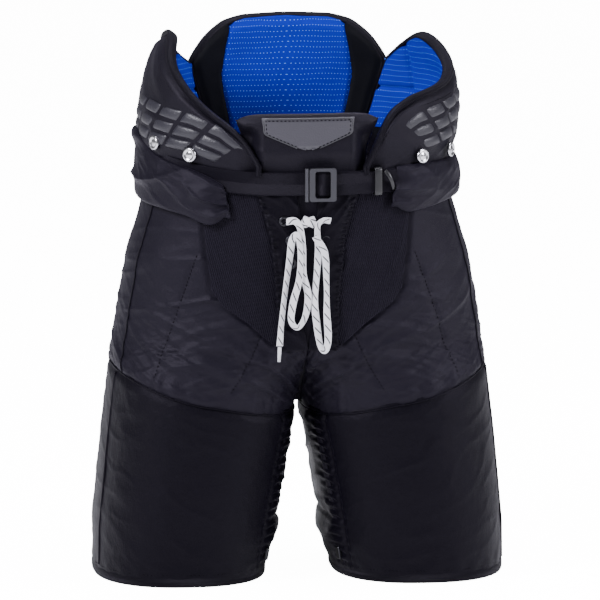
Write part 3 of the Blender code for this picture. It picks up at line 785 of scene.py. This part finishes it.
def half_line(angle, down, side, offset):
    """A line over the folded hip fabric, and the directions out of it."""
    across = angle + np.array((-0.6, 0.0, 0.6))[:, None]
    down = np.broadcast_to(down, across.shape)
    higher, middle, lower = (
        half_point(across, np.clip(down + shift, 0, 1)) for shift in (-0.004, 0.0, 0.004))
    out = unit(np.cross(middle[2] - middle[0], higher[1] - lower[1]))
    push = half_relief(middle, across, down, side)[1]
    line = middle[1] + out * (push[:, None] + offset)
    return line * (side, 1, 1), out * (side, 1, 1)


def make_hip_halves(m):
    for name, side in SIDES:
        angle, down = grid(np.linspace(0, 180, 230), np.linspace(1, 0, 150))
        points = half_point(angle, down)
        piece = cloth(f"hip_fabric_{name}", points, 0.0020, m["nylon"], (angle * HIP_ARC, points[..., 2]),
                      half_relief(points, angle, down, side), side=side)
        bend(piece)
        dress(piece, "black_nylon", f"hip_shell_{name}", f"stretch_zone_{name}", f"hip_foam_{name}",
              f"hip_guard_{name}", soft=0.4)
        if side > 0:
            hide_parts("tail_pad")
        make_hip_seams(m, name, side)


def make_hip_seams(m, name, side):
    """Piping down the outer side, and two stitched lines over the front of the hip."""
    line, out = half_line(np.full(110, HIP_PIPING_ANGLE), np.linspace(0.06, 0.985, 110), side, 0.0004)
    piece = band(f"hip_piping_{name}", smooth_line(line, 3), out, 0.0018, 0.0022, m["binding"])
    bend(piece)
    for number, (start, end) in enumerate(STITCH_LINES):
        down = np.linspace(0.30 + 0.32 * number, 0.93, 90)
        line, out = half_line(start + (end - start) * down, down, side, 0.0003)
        piece = stitches(f"hip_stitch_{number}_{name}", smooth_line(line, 2), out, m["thread"])
        bend(piece)


def front_patch(low, high, left, right, counts, offset):
    """A grid on the front of the hips between heights, and between widths that depend on height."""
    across, up = grid(shares(counts[0]), shares(counts[1]))
    z = low + (high - low) * up
    x = left(z) + (right(z) - left(z)) * across
    points = hip(hip_angle(x, z), z)
    return points + grid_normals(points) * offset, across, up, x, z


def make_gusset(m):
    """The strip that joins the two halves along the crotch, from the foot of the fly to the back seam."""
    front, back = (half_point(np.full(40, angle), np.linspace(0.60, 1.0, 40)) for angle in (0.0, 180.0))
    path = smooth_line(np.concatenate([front, back[::-1][1:]]), 4)
    across = np.linspace(-1, 1, 13)[:, None]
    points = np.repeat(path[None, :, :], 13, axis=0)
    points[..., 0] = GUSSET_HALF * across
    inward = np.array((0.0, SHIFT_Y, 0.300)) - path
    inward[:, 0] = 0
    points = points + unit(inward) * (0.0012 + 0.0010 * across[..., None] ** 2)
    length = np.linspace(0, 0.26, points.shape[1])
    piece = cloth("crotch_gusset", points, 0.0016, m["nylon"], (across * GUSSET_HALF, length))
    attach(piece, "hips")
    dress(piece, "black_nylon", soft=0.2)


def make_ribs_and_fly(m):
    for name, side in SIDES:
        points, across, up, x, z = front_patch(
            RIB_FOOT, HIP_TOP, lambda z: placket_edge(z) - 0.003, rib_edge, (50, 90), 0.0006)
        slack = 0.0016 * fractal(x, z, 0.030, 5.0 + side, (1.0, 2.0), 0)
        folded = 0.0014 * folds(x, z, 0.035, 8.0 + side, (3, 0.8), 60)
        edge = ends(across, 0.10)
        push = (slack + folded) * edge - 0.0008 * (1 - edge) - 0.0022 * (1 - step(up, 0, 0.05))
        piece = cloth(f"rib_{name}", points, 0.0016, m["knit"], (x - 0.25 * (z - 0.30), z), push, side=side)
        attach(piece, "hips")
        dress(piece, "rib_knit", f"rib_panel_{name}", soft=0.1)
        make_placket(m, name, side)
    make_tongue(m)


def make_placket(m, name, side):
    opening = lambda z: np.interp(z, (0.258, 0.290, 0.400, 0.432), (0.0005, 0.005, 0.009, 0.013))
    points, across, _, x, z = front_patch(0.258, HIP_TOP, opening, placket_edge, (40, 120), 0.0026)
    waves = 2 * math.pi * z / 0.0085 + 1.2 * fractal(x, z, 0.02, 2.0 + side)
    push = 0.0017 * near(across, 0.93, 0.14) * np.sin(waves)
    push = push + 0.0018 * fractal(x, z, 0.030, 21.0 + side, (1.0, 1.6), 30)
    push = push + 0.0016 * folds(x, z, 0.030, 25.0 + side, (2.4, 0.8), 50) - 0.0022 * step(across, 0.93, 1.0)
    piece = cloth(f"placket_{name}", points, 0.0020, m["panel"], (x, z), push, side=side)
    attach(piece, "hips")
    dress(piece, "black_nylon", f"fly_placket_{name}", soft=0.1)
    heights = np.linspace(0.268, 0.424, 90)
    line = hip(hip_angle(placket_edge(heights) - 0.0045, heights), heights)
    line[:, 1] -= 0.0032
    seam = stitches(f"placket_stitch_{name}", line * (side, 1, 1), FORWARD, m["thread"])
    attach(seam, "hips")


def make_tongue(m):
    points, _, _, x, z = front_patch(
        0.275, 0.418, lambda z: 0 * z - 0.040, lambda z: 0 * z + 0.040, (36, 60), -0.0052)
    piece = cloth("tongue", points, 0.0015, m["panel"], (x, z), 0.0010 * fractal(x, z, 0.03, 31.0))
    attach(piece, "hips")
    dress(piece, "black_nylon", "fly_tongue", soft=0.1)


def surface_spot(angle, z, offset, side=1):
    """A point at an offset from the hip surface, and the direction out of it."""
    before, here, after = (hip(angle + turn, z) for turn in (-0.3, 0.0, 0.3))
    out = outward((after - before)[None])[0]
    return (here + out * offset) * (side, 1, 1), out * (side, 1, 1)


def make_eyelets(m):
    profile = ((0.0028, -0.0003), (0.0050, -0.0003), (0.0055, 0.0002), (0.0052, 0.0009), (0.0043, 0.0013),
               (0.0034, 0.0011), (0.0028, 0.0004))
    for name, side in SIDES:
        for row, (x, z) in enumerate(EYELETS, 1):
            spot, out = surface_spot(float(hip_angle(x, z)), z, 0.0030, side)
            piece = lathe(f"ring_{name}_{row}", profile, spot, out, m["dark_metal"], closed=True)
            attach(piece, "hips")
            dress(piece, "dark_metal", f"eyelet_{name}_{row}")


def make_waist_lining(m):
    angle, up = grid(all_round(180, 0), shares(40))
    z = 0.272 + up * (FLAP_FOOT - 0.272)
    points = hip(angle, z)
    points = points - grid_normals(points, True) * 0.0165
    push = 0.0010 * fractal(angle * HIP_ARC, z, 0.05, 41.0)
    piece = cloth("inner_lining", points, 0.0015, m["lining"], (angle * HIP_ARC, z), push, ring=True)
    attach(piece, "hips")
    dress(piece, "grey_lining", "waist_lining", soft=0.2)


# ---------------------------------------------------------------- belt

def ring_band(name, angles, heights, offsets, width, thickness, finish, ring=False):
    """A strap round the hips, standing on edge."""
    points = hip(angles, heights)
    points = points + outward(np.gradient(points, axis=0)) * np.asarray(offsets)[:, None]
    return band(name, points, UP, width, thickness, finish, ring=ring, sides=16, power=6.0)


def make_belt(m):
    angles = all_round(420)
    z = belt_z(angles)
    x = hip(angles, z)[:, 0]
    front = np.abs(angles) < 60
    over_bar = 0.0042 * near(x, 0.0148, 0.0065) * front
    wave = 0.0006 * np.sin(x / 0.012) * front * (np.abs(x - 0.014) > 0.02)
    piece = ring_band("belt", angles, z, 0.0062 + over_bar + wave, BELT_WIDTH, 0.0016, m["tape"], ring=True)
    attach(piece, "hips")
    dress(piece, "black_webbing", "belt_webbing")
    tail = np.linspace(float(hip_angle(0.026, BELT_Z_FRONT)), 33, 60)
    piece = ring_band("belt_tail", tail, belt_z(tail) - 0.0006, 0.0082 + 0 * tail, BELT_WIDTH - 0.001, 0.0014,
                      m["tape"])
    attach(piece, "hips")
    dress(piece, "black_webbing")
    for part, body in (("frame", "buckle"), ("roller", "hips")):
        piece = eased_copy(f"buckle_{part}", f"{part}_of_buckle", m["steel"], 0.0007)
        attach(piece, body)
        dress(piece, "buckle_metal", f"buckle_{part}")
    make_keeper(m)
    for name, side in SIDES:
        make_sleeve(m, name, side)


def make_keeper(m):
    """A plastic loop round both layers of the strap, with a small hook above it."""
    z = float(belt_z(hip_angle(KEEPER_X, BELT_Z_FRONT)))
    spot, out = surface_spot(float(hip_angle(KEEPER_X, z)), z, 0.0078)
    across = np.cross(UP, out)
    turn = np.linspace(0, 2 * math.pi, 60, endpoint=False)
    c, s = (np.sign(part) * np.abs(part) ** 0.35 for part in (np.cos(turn), np.sin(turn)))
    loop = spot + np.outer(c * 0.0034, out) + np.outer(s * 0.0142, UP)
    piece = band("keeper", loop, across, 0.0085, 0.0020, m["plastic"], ring=True, power=4)
    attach(piece, "hips")
    dress(piece, "guard_plastic", "belt_keeper")
    t = shares(26)
    hook = spot + np.outer(0.0075 + 0.010 * t, across) + np.outer(0.0030 + 0.0030 * np.sin(math.pi * t), out)
    hook = hook + np.outer(0.011 - 0.020 * t ** 1.3, UP)
    piece = band("keeper_hook", hook, out, 0.0028, 0.0042, m["plastic"], power=3)
    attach(piece, "hips")
    dress(piece, "guard_plastic")


def make_sleeve(m, name, side):
    """A puffy padded sleeve that hides the belt from the front hip round to the back."""
    across, up = grid(shares(200), shares(70))
    start = SLEEVE_LOW[name][0][0]
    angle = start + 3.5 * (up - 0.5) * (1 - across) + (172 - start) * across
    low = curve_of(SLEEVE_LOW[name])(angle)
    z = low + (curve_of(SLEEVE_HIGH[name])(angle) - low) * up
    swell = np.sin(math.pi * np.clip(up, 0.0, 1.0)) ** 0.5
    full = np.minimum(step(across, -0.02, 0.06), step(1 - across, -0.02, 0.05))
    length = angle * HIP_ARC
    seed = 51.0 + 7 * side
    waves = 2 * math.pi * up * 2.4 + 2.0 * fractal(length, z, 0.03, seed)
    gather = 0.0026 * near(across, 0.0, 0.07) * np.sin(waves)
    creases = 0.0044 * folds(length, z, 0.050, seed + 3, (3.6, 0.8), -14)
    creases = creases + 0.0022 * folds(length, z, 0.022, seed + 5, (3.0, 0.8), 20) * near(across, 0.1, 0.25)
    flare = 0.0052 * step(z, 0.462, 0.480) * near(angle, 92, 26)
    push = 0.0082 + swell * (0.0068 * full + 0.0012 + creases - 0.0022 + gather) + flare
    piece = cloth(f"sleeve_{name}", hip(angle, z), 0.0030, m["nylon"], (length, z), push, side=side)
    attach(piece, "hips")
    dress(piece, "black_nylon", f"belt_sleeve_{name}", soft=0.7)


# ---------------------------------------------------------------- waist flaps

def flap_offset(z, full):
    """How far the flap's outer side stands off: thin behind the belt, padded above it."""
    return 0.0028 + (full - 0.0028) * step(z, 0.452, 0.478)


def flap_grid(first, last, top, counts, foot=FLAP_FOOT, dip=0.0):
    """Points of a flap. first and last are functions of height, and top is a function of angle."""
    across, up = grid(shares(counts[0]), shares(counts[1]))
    angle = first(0.5) + (last(0.5) - first(0.5)) * across
    for _ in range(10):
        z = foot + (top(angle) - dip - foot) * up
        angle = first(z) + (last(z) - first(z)) * across
    return hip(angle, z), across, up, angle, z


def bend_flap(piece):
    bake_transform(piece)


def away_from_rim(across, up, side_width, top_width):
    """0 along a flap's free edges and 1 further in."""
    return np.minimum(ends(across, side_width), step(1 - up, 0, top_width))


def make_trim(m, name, points, side=1):
    """The binding over a flap's free edge, from one foot over the top to the other."""
    normals = grid_normals(points)
    line, out = (np.concatenate([part[0, :], part[1:-1, -1], part[-1, ::-1]]) for part in (points, normals))
    line, out = smooth_line(line + out * 0.0052), smooth_line(out)
    keep = line[:, 2] > TRIM_FOOT
    trim = band(name, line[keep] * (side, 1, 1), out[keep] * (side, 1, 1), 0.0128, 0.0058, m["binding"],
                sides=16, power=2.6)
    bend_flap(trim)


def smooth_line(line, passes=12):
    line = line.copy()
    for _ in range(passes):
        line[1:-1] = (line[:-2] + 2 * line[1:-1] + line[2:]) / 4
    return line


def fin_splay(angle, z, side):
    """The left fin leans outwards above the belt."""
    return 0.0075 * step(z, 0.470, 0.535) * near(angle, 88, 30) * (side > 0)


def make_fin(m, name, side):
    seed = 71.0 + 5 * side
    points, across, up, angle, z = flap_grid(
        lambda z: FIN_START[name], lambda z: back_edge(z) - 2.0, fin_tops[name], (140, 64), dip=0.0015)
    edge = away_from_rim(across, up, 0.06, 0.10)
    length = angle * HIP_ARC
    splay = fin_splay(angle, z, side)
    puff = 0.0022 * edge + 0.0016 * folds(length, z, 0.05, seed, (2.6, 0.8), 30) * edge
    cover = cloth(f"fin_outside_{name}", points, 0.0045, m["pad"], (length, z),
                  flap_offset(z, PAD_OFFSET) + puff - 0.0016 * (1 - edge) + splay, side=side)
    bend_flap(cover)
    dress(cover, "black_nylon", f"fin_cover_{name}", f"fin_foam_{name}", soft=0.6)
    crease = 0.0032 * near(angle, 125, 1.6) * step(z, 0.47, 0.50)
    crease = crease + 0.0026 * near(z, 0.507, 0.0024) * (angle > 125)
    swell = -0.0016 * edge + crease + 0.0012 * fractal(length, z, 0.05, seed + 3)
    inside = cloth(f"fin_inside_{name}", points, 0.0014, m["blue"], (length, z),
                   flap_offset(z, 0.0016) - 0.0015 + swell + splay, side=side, mask=z < MESH_FOOT)
    bend_flap(inside)
    dress(inside, "blue_mesh", f"fin_lining_{name}", soft=0.4)
    splayed = points + grid_normals(points) * splay[..., None]
    make_trim(m, f"fin_binding_{name}", splayed, side)
    inner, out = splayed[6:-6, -8], grid_normals(splayed)[6:-6, -8]
    line = smooth_line(inner + out * 0.0118)
    seam = stitches(f"fin_stitch_{name}", line * (side, 1, 1), out * (side, 1, 1), m["thread"])
    bend_flap(seam)
    make_fin_segments(m, name, side)


# Upper edge of the padded segments by angle, the angles they fill, and how many stand side by side
SEGMENT_TOPS = {
    "left": ((31, 0.493), (38, 0.505), (43, 0.511), (67, 0.519), (98, 0.526)),
    "right": ((19, 0.470), (22, 0.482), (30, 0.501), (44, 0.513), (60, 0.517), (75, 0.520), (104, 0.524)),
}
SEGMENT_SPAN = {"left": (33, 84, 4), "right": (19, 90, 5)}
SEGMENT_HEIGHT = 0.0150
SEGMENT_LEAN = 4.5           # degrees that each lower row is further round


def make_fin_segments(m, name, side):
    """Three rows of small padded segments on the lower front of the fin, following its sloping edge."""
    first, last, columns = SEGMENT_SPAN[name]
    top_of = curve_of(SEGMENT_TOPS[name])
    a, b = grid(shares(13), shares(9)[::-1])
    crown = 0.0034 * (np.sin(math.pi * a) * np.sin(math.pi * b)) ** 0.30
    pieces = []
    for row in range(3):
        for column in range(columns):
            depth = row + 0.06 + 0.88 * b
            angle = first + (last - first) * (column + 0.03 + 0.94 * a) / columns + SEGMENT_LEAN * depth
            space = top_of(angle) - belt_z(angle * side) - 0.0095
            z = top_of(angle) - np.clip(space / 3, 0.003, SEGMENT_HEIGHT) * depth
            push = flap_offset(z, PAD_OFFSET) + 0.0014 + crown + fin_splay(angle, z, side)
            pieces.append(cloth(f"segment_{name}_{row}_{column}", hip(angle, z), 0.0022, m["segment"],
                                (angle * HIP_ARC, z), push, side=side))
    joined = join(pieces, f"fin_segments_{name}")
    bend_flap(joined)
    dress(joined, "grey_leather")


def make_snaps(m):
    profile = ((0, -0.0010), (0.0080, -0.0010), (0.0080, 0.0010), (0.0073, 0.0021), (0.0062, 0.0025),
               (0.0052, 0.0021), (0.0044, 0.0013), (0.0038, 0.0014), (0.0030, 0.0019), (0, 0.0020))
    for name, side in SIDES:
        for row, angle in enumerate(SNAP_ANGLES, 1):
            spot, out = surface_spot(angle, float(belt_z(angle * side)) + 0.0220, 0.0128, side)
            piece = lathe(f"snap_{name}_{row}", profile, spot, out, m["chrome"])
            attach(piece, f"fin_{name}")
            dress(piece, "snap_metal", f"snap_cap_{name}_{row}")


def make_back(m):
    points, across, up, angle, z = flap_grid(
        lambda z: back_edge(z) - 0.8, lambda z: 360.8 - back_edge(z),
        lambda angle: back_top(np.abs(angle - 180)), (130, 70), dip=0.0015)
    edge = away_from_rim(across, up, 0.06, 0.08)
    length = (angle - 180) * 0.0028
    puff = 0.0026 * edge - 0.0016 * (1 - edge) + 0.0016 * folds(length, z, 0.05, 91.0, (2, 0.8), 10) * edge
    cover = cloth("back_outside", points, 0.0045, m["pad"], (length, z), flap_offset(z, PAD_OFFSET) + puff)
    bend_flap(cover)
    dress(cover, "black_nylon", "back_cover", "back_foam", soft=0.6)
    x = np.abs(points[..., 0])
    heights = (0.460, 0.506, 0.522, 0.549, 0.570, 0.585)
    width = np.interp(z, heights, (0.060, 0.069, 0.071, 0.067, 0.063, 0.060))
    swell = -0.0022 * edge + 0.0022 * near(x, width, 0.0022) + 0.0010 * fractal(length, z, 0.05, 95.0)
    lining = cloth("back_inside", points, 0.0014, m["blue"], (length, z),
                   flap_offset(z, 0.0016) - 0.0015 + swell, mask=x > width)
    bend_flap(lining)
    dress(lining, "blue_mesh", "back_lining", soft=0.4)
    make_trim(m, "back_binding", points)


def make_front_guard(m):
    top = lambda angle: 0.5125 - 0.007 * (np.abs(angle) / 24.4) ** 6
    points, across, up, angle, z = flap_grid(
        lambda z: -guard_half_angle(z), guard_half_angle, top, (100, 60), foot=0.4300)
    x = points[..., 0]
    edge = away_from_rim(across, up, 0.08, 0.14)
    tucked = step(np.abs(angle), 13, 19) * (1 - step(z, 0.488, 0.505))
    padded = 0.0018 * step(z, 0.452, 0.472) + 0.0052 * edge ** 0.6 * step(z, 0.450, 0.474)
    push = 0.0020 + padded * (1 - tucked) - 0.0050 * tucked
    push = push + 0.0012 * folds(x, z, 0.03, 101.0, (1.0, 2.0), 80) * edge * (np.abs(x) > 0.045)
    piece = cloth("guard_outside", points, 0.0060, m["pad"], (x, z), push)
    bend_flap(piece)
    dress(piece, "black_nylon", "front_guard", soft=0.6)
    make_patch(m)


def patch_half(z):
    """Half width of the shield-shaped patch: nearly straight sides above a blunt point."""
    rise = z - PATCH_LOW
    return np.interp(rise, (0, 0.0008, 0.0165, 0.0190, 0.0330), (0.0040, 0.0085, 0.0450, 0.0470, 0.0480))


def make_patch(m):
    across, up = grid(np.linspace(-1, 1, 70), shares(50))
    z = PATCH_LOW + (PATCH_HIGH - PATCH_LOW) * up
    x = patch_half(z) * across
    crown = np.minimum(step(1 - np.abs(across), 0, 0.10), ends(up, 0.12))
    points = hip(hip_angle(x, z), z)
    piece = cloth("shield_patch", points, 0.0024, m["leather"], (x, z), 0.0098 + 0.0012 * crown)
    bend_flap(piece)
    dress(piece, "grey_leather", "front_patch")
    side_z = np.linspace(PATCH_LOW + 0.0022, PATCH_HIGH - 0.0010, 40)

    def outline(wider, top, offset):
        half = patch_half(side_z) + wider
        x = np.concatenate([half, np.linspace(half[-1], -half[-1], 40)[1:-1], -half[::-1]])
        z = np.concatenate([side_z, np.full(38, top), side_z[::-1]])
        return hip(hip_angle(x, z), z) - (0, offset, 0)

    seam = stitches("shield_stitch", outline(-0.0022, side_z[-1] - 0.0005, 0.0112), FORWARD, m["thread"])
    bend_flap(seam)
    line = smooth_line(outline(0.0004, PATCH_HIGH + 0.0005, 0.0102), 2)
    piping = band("shield_piping", line, FORWARD, 0.0016, 0.0016, m["light_thread"], sides=8)
    bend_flap(piping)


# ---------------------------------------------------------------- legs

def leg_relief(angle, z, side):
    """The smooth thigh panel, the puckered inner strip and the crinkled hem."""
    seed = 121.0 + 9 * side
    length = angle * LEG_ARC
    panel = step(angle, -58, -46) * (1 - step(angle, 108, 122))
    inner = 1 - step(np.abs((angle + 270) % 360 - 180), 14, 34)
    crinkle = 0.0014 * folds(length, z, 0.040, seed, (2.2, 0.8), 25)
    crinkle = crinkle + 0.0014 * fractal(length, z, 0.05, seed + 1)
    rungs = 2 * math.pi * z / 0.0095 + 0.8 * fractal(length, z, 0.03, seed + 2)
    ladder = 0.0016 * near(angle, ZIP_ANGLE, 9) * np.sin(rungs)
    seam = -0.0022 * near(angle, -52, 1.6) - 0.0016 * near(angle, 112, 1.6)
    boundary = 0.0027 * step(leg_edge(angle) - z, 0, 0.014)
    notch = -0.0032 * near(z, 0.066, 0.0032) * near(angle, -85, 26)
    flap = 0.0048 * near(z, 0.046, 0.015) * near(angle, -85, 30)
    hem = 0.0008 * near(z, 0.010, 0.010) * np.sin(angle * 0.45 + 2 * fractal(length, z, 0.04, seed + 4))
    rough = crinkle * (0.50 + 0.60 * (1 - panel) + 0.5 * inner)
    return (rough + ladder + seam + notch + flap + hem) * step(z, 0.006, 0.022) + boundary - 0.0018


def make_legs(m):
    for name, side in SIDES:
        angle, up = grid(all_round(300), shares(110))
        z = LEG_FOOT + (leg_edge(angle) - LEG_FOOT) * up
        piece = cloth(f"leg_fabric_{name}", leg(angle, z), 0.0022, m["panel"], (angle * LEG_ARC, z),
                      leg_relief(angle, z, side), ring=True, side=side)
        bend(piece)
        dress(piece, "black_nylon", f"leg_shell_{name}", f"thigh_guard_{name}", f"thigh_foam_{name}",
              soft=0.5)
        make_leg_lining(m, name, side)
        make_hem(m, name, side)
        make_leg_seams(m, name, side)
        make_zip(m, name, side)


def make_leg_lining(m, name, side):
    angle, up = grid(all_round(160), shares(40))
    z = 0.006 + 0.168 * up
    push = -0.0045 - 0.0100 * step(z, 0.006, 0.040) + 0.0012 * fractal(angle * LEG_ARC, z, 0.05, 140.0 + side)
    piece = cloth(f"leg_inside_{name}", leg(angle, z), 0.0012, m["lining"], (angle * LEG_ARC, z), push,
                  ring=True, side=side)
    bend(piece)
    dress(piece, "grey_lining", f"leg_lining_{name}", soft=0.2)


def leg_line(angle, z, offset, side):
    """A line round or up the leg, and the directions out of it. Either place may be one number."""
    angle, z = np.broadcast_arrays(angle, z)
    out = outward(leg(angle + 0.5, z) - leg(angle - 0.5, z))
    return (leg(angle, z) + out * offset) * (side, 1, 1), out * (side, 1, 1)


def make_hem(m, name, side):
    line, _ = leg_line(all_round(240), 0.0062, -0.0014, side)
    piece = band(f"hem_{name}", line, UP, 0.0124, 0.0056, m["binding"], ring=True, sides=14, power=3)
    bend(piece)
    dress(piece, "black_webbing", f"hem_binding_{name}")
    line, out = leg_line(all_round(240), 0.0135, 0.0008, side)
    seam = stitches(f"hem_stitch_{name}", line, out, m["thread"])
    bend(seam)


def make_leg_seams(m, name, side):
    """Piping down the outer side, and the gathered cord along the thigh panel's top seam."""
    line, out = leg_line(LEG_PIPING_ANGLE, np.linspace(0.014, 0.224, 80), 0.0012, side)
    piece = band(f"side_piping_{name}", line, out, 0.0022, 0.0030, m["binding"])
    bend(piece)
    angle = all_round(240)
    line, out = leg_line(angle, leg_edge(angle) - 0.0034, 0.0002, side)
    piece = band(f"thigh_seam_{name}", line, out, 0.0014, 0.0014, m["panel"], ring=True, sides=8)
    bend(piece)


def make_zip(m, name, side):
    """The zip's tape along the inner leg, and the slider at the hem."""
    line, out = leg_line(ZIP_ANGLE, np.linspace(0.0135, 0.176, 90), 0.0004, side)
    across = np.cross(out, np.gradient(line, axis=0))
    piece = band(f"zip_base_{name}", line, across, 0.0120, 0.0012, m["tape"], power=4)
    bend(piece)
    dress(piece, "black_webbing", f"zip_tape_{name}")
    piece = eased_copy(f"zip_slider_{name}", f"zip_pull_{name}", m["dark_metal"], 0.0006)
    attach(piece, f"zip_{name}")
    dress(piece, "dark_metal", f"zip_slider_{name}")


# ---------------------------------------------------------------- lace

TAIL = (
    (-0.0235, 0.3980, 0.0048), (-0.0150, 0.3990, 0.0075), (-0.0095, 0.3920, 0.0095),
    (-0.0065, 0.3700, 0.0095), (-0.0060, 0.3420, 0.0095), (-0.0010, 0.3180, 0.0095),
    (-0.0040, 0.2960, 0.0095), (-0.0120, 0.2840, 0.0105), (-0.0190, 0.2920, 0.0120),
    (-0.0170, 0.3120, 0.0130), (-0.0110, 0.3360, 0.0135), (-0.0095, 0.3640, 0.0140),
    (-0.0125, 0.3840, 0.0150), (-0.0180, 0.3800, 0.0145), (-0.0205, 0.3600, 0.0120),
    (-0.0250, 0.3250, 0.0100), (-0.0290, 0.2900, 0.0090), (-0.0310, 0.2640, 0.0085),
)
LOOP = (
    (0.0235, 0.3980, 0.0048), (0.0150, 0.3990, 0.0075), (0.0090, 0.3920, 0.0095),
    (0.0100, 0.3680, 0.0095), (0.0092, 0.3530, 0.0095), (0.0080, 0.3380, 0.0095),
    (0.0060, 0.3120, 0.0095), (0.0085, 0.2860, 0.0095), (0.0120, 0.2640, 0.0100),
    (0.0170, 0.2590, 0.0110), (0.0200, 0.2720, 0.0120), (0.0185, 0.3000, 0.0125),
    (0.0184, 0.3170, 0.0128), (0.0180, 0.3350, 0.0130), (0.0160, 0.3650, 0.0135),
    (0.0060, 0.3830, 0.0140),
)


def through(points, steps=14):
    """A smooth curve through the points."""
    points = [np.asarray(p, float) for p in points]
    ends = [2 * points[0] - points[1], *points, 2 * points[-1] - points[-2]]
    path = []
    for i in range(1, len(ends) - 2):
        a, b, c, d = ends[i - 1:i + 3]
        for k in range(steps):
            t = k / steps
            path.append(0.5 * (2 * b + (c - a) * t + (2 * a - 5 * b + 4 * c - d) * t * t
                               + (3 * b - a - 3 * c + d) * t ** 3))
    path.append(points[-1])
    return np.array(path)


def front_places(spots):
    return [surface_spot(float(hip_angle(x, z)), z, offset)[0] for x, z, offset in spots]


def lace(name, spots, node, m):
    path = through(front_places(spots))
    sideways = np.cross(np.gradient(path, axis=0), FORWARD)
    twist = 0.75 * np.sin(shares(len(path)) * 13.0 + len(spots))
    sideways[:, 1] += twist * np.linalg.norm(sideways, axis=1)
    piece = band(name, path, sideways, LACE_WIDTH, 0.0014, m["lace"], sides=12, power=3)
    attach(piece, "hips")
    dress(piece, "white_lace", node)


def make_lace(m):
    tip = front_places(TAIL)[-1]
    profile = ((0, 0), (0.0020, 0), (0.0021, 0.002), (0.0018, 0.016), (0, 0.016))
    aglet = lathe("lace_tip", profile, tip - (0, 0, 0.0010), (-0.05, 0, -1), m["clear"])
    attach(aglet, "hips")
    dress(aglet, "aglet_plastic", "aglet")
    lace("lace_tail_band", TAIL, "lace_tail", m)
    lace("lace_loop_band", LOOP, "lace_loop", m)
    make_knot(m)


def make_knot(m):
    """Two short wraps of the lace crossed over each other."""
    centre = front_places([(0.0, KNOT_Z, 0.0085)])[0]
    turn = np.linspace(0, 2 * math.pi, 40, endpoint=False)
    wraps = []
    for number, tilt in enumerate((24, -28)):
        c, s = math.cos(math.radians(tilt)), math.sin(math.radians(tilt))
        depth = 0.0036 + 0.0009 * number
        loop = centre + np.outer(np.cos(turn) * 0.0070, (c, 0, s))
        loop = loop + np.outer(np.sin(turn) * depth, (0, 1.0, 0))
        wraps.append(band(f"wrap_{number}", loop, (-s, 0, c), 0.0075, 0.0016, m["lace"], ring=True, sides=12,
                          power=3))
    knot = join(wraps, "bow_knot")
    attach(knot, "hips")
    dress(knot, "white_lace", "lace_knot")


# ---------------------------------------------------------------- stage

def make_camera():
    data = bpy.data.cameras.new("camera")
    data.lens = CAMERA_LENS
    data.clip_end = 100
    camera = add_object("camera", data)
    azimuth, elevation = (math.radians(angle) for angle in CAMERA_ANGLES)
    level = math.cos(elevation)
    ahead = Vector((math.sin(azimuth) * level, -math.cos(azimuth) * level, math.sin(elevation)))
    camera.location = Vector(CAMERA_TARGET) + ahead * CAMERA_DISTANCE
    camera.rotation_euler = (Vector(CAMERA_TARGET) - camera.location).to_track_quat("-Z", "Y").to_euler()
    bpy.context.scene.camera = camera


def area_light(name, place, size, power):
    data = bpy.data.lights.new(name, "AREA")
    data.shape = "RECTANGLE"
    data.size, data.size_y = size
    data.energy = power
    data.color = LIGHT_COLOR
    light = add_object(name, data)
    light.location = place
    light.rotation_euler = (Vector((0, 0, 0.3)) - Vector(place)).to_track_quat("-Z", "Y").to_euler()


def make_stage():
    """A white world and a white floor: bright to the camera, and dim as light on the object."""
    world = bpy.data.worlds.new("studio")
    world.use_nodes = True
    tree = world.node_tree
    background = tree.nodes["Background"]
    background.inputs["Color"].default_value = (1, 1, 1, 1)
    seen = tree.nodes.new("ShaderNodeLightPath").outputs["Is Camera Ray"]
    strength = tree.nodes.new("ShaderNodeMath")
    strength.operation = "MULTIPLY_ADD"
    strength.inputs[1].default_value = SEEN_GLOW
    strength.inputs[2].default_value = 0.18
    tree.links.new(seen, strength.inputs[0])
    tree.links.new(strength.outputs[0], background.inputs["Strength"])
    bpy.context.scene.world = world
    mesh = bpy.data.meshes.new("floor")
    corners = ((-1, -1), (1, -1), (1, 1), (-1, 1))
    mesh.from_pydata([(x * FLOOR_HALF, y * FLOOR_HALF, FLOOR_Z) for x, y in corners], [], [(0, 1, 2, 3)])
    mesh.shade_smooth()
    white = Nodes("pale_floor", (0.93, 0.93, 0.93), 0.9)
    white.set("Emission Color", (1, 1, 1, 1))
    seen = white.add("ShaderNodeLightPath").outputs["Is Camera Ray"]
    glow = white.math("ADD", white.math("MULTIPLY", seen, SEEN_GLOW), 0.15)
    white.link(glow, white.shader.inputs["Emission Strength"])
    mesh.materials.append(white.finish())
    add_object("floor", mesh)
    area_light("key", (-1.9, -1.3, 1.9), (0.9, 0.9), 115)
    area_light("fill", (2.1, -1.1, 1.3), (1.0, 1.0), 62)
    area_light("top", (0.3, 0.3, 2.4), (1.4, 1.0), 60)


def main():
    make_camera()
    m = make_materials()
    make_lace(m)
    make_hip_halves(m)
    make_gusset(m)
    make_ribs_and_fly(m)
    make_eyelets(m)
    make_waist_lining(m)
    make_belt(m)
    for name, side in SIDES:
        make_fin(m, name, side)
    make_snaps(m)
    make_back(m)
    make_front_guard(m)
    make_legs(m)
    make_stage()


main()
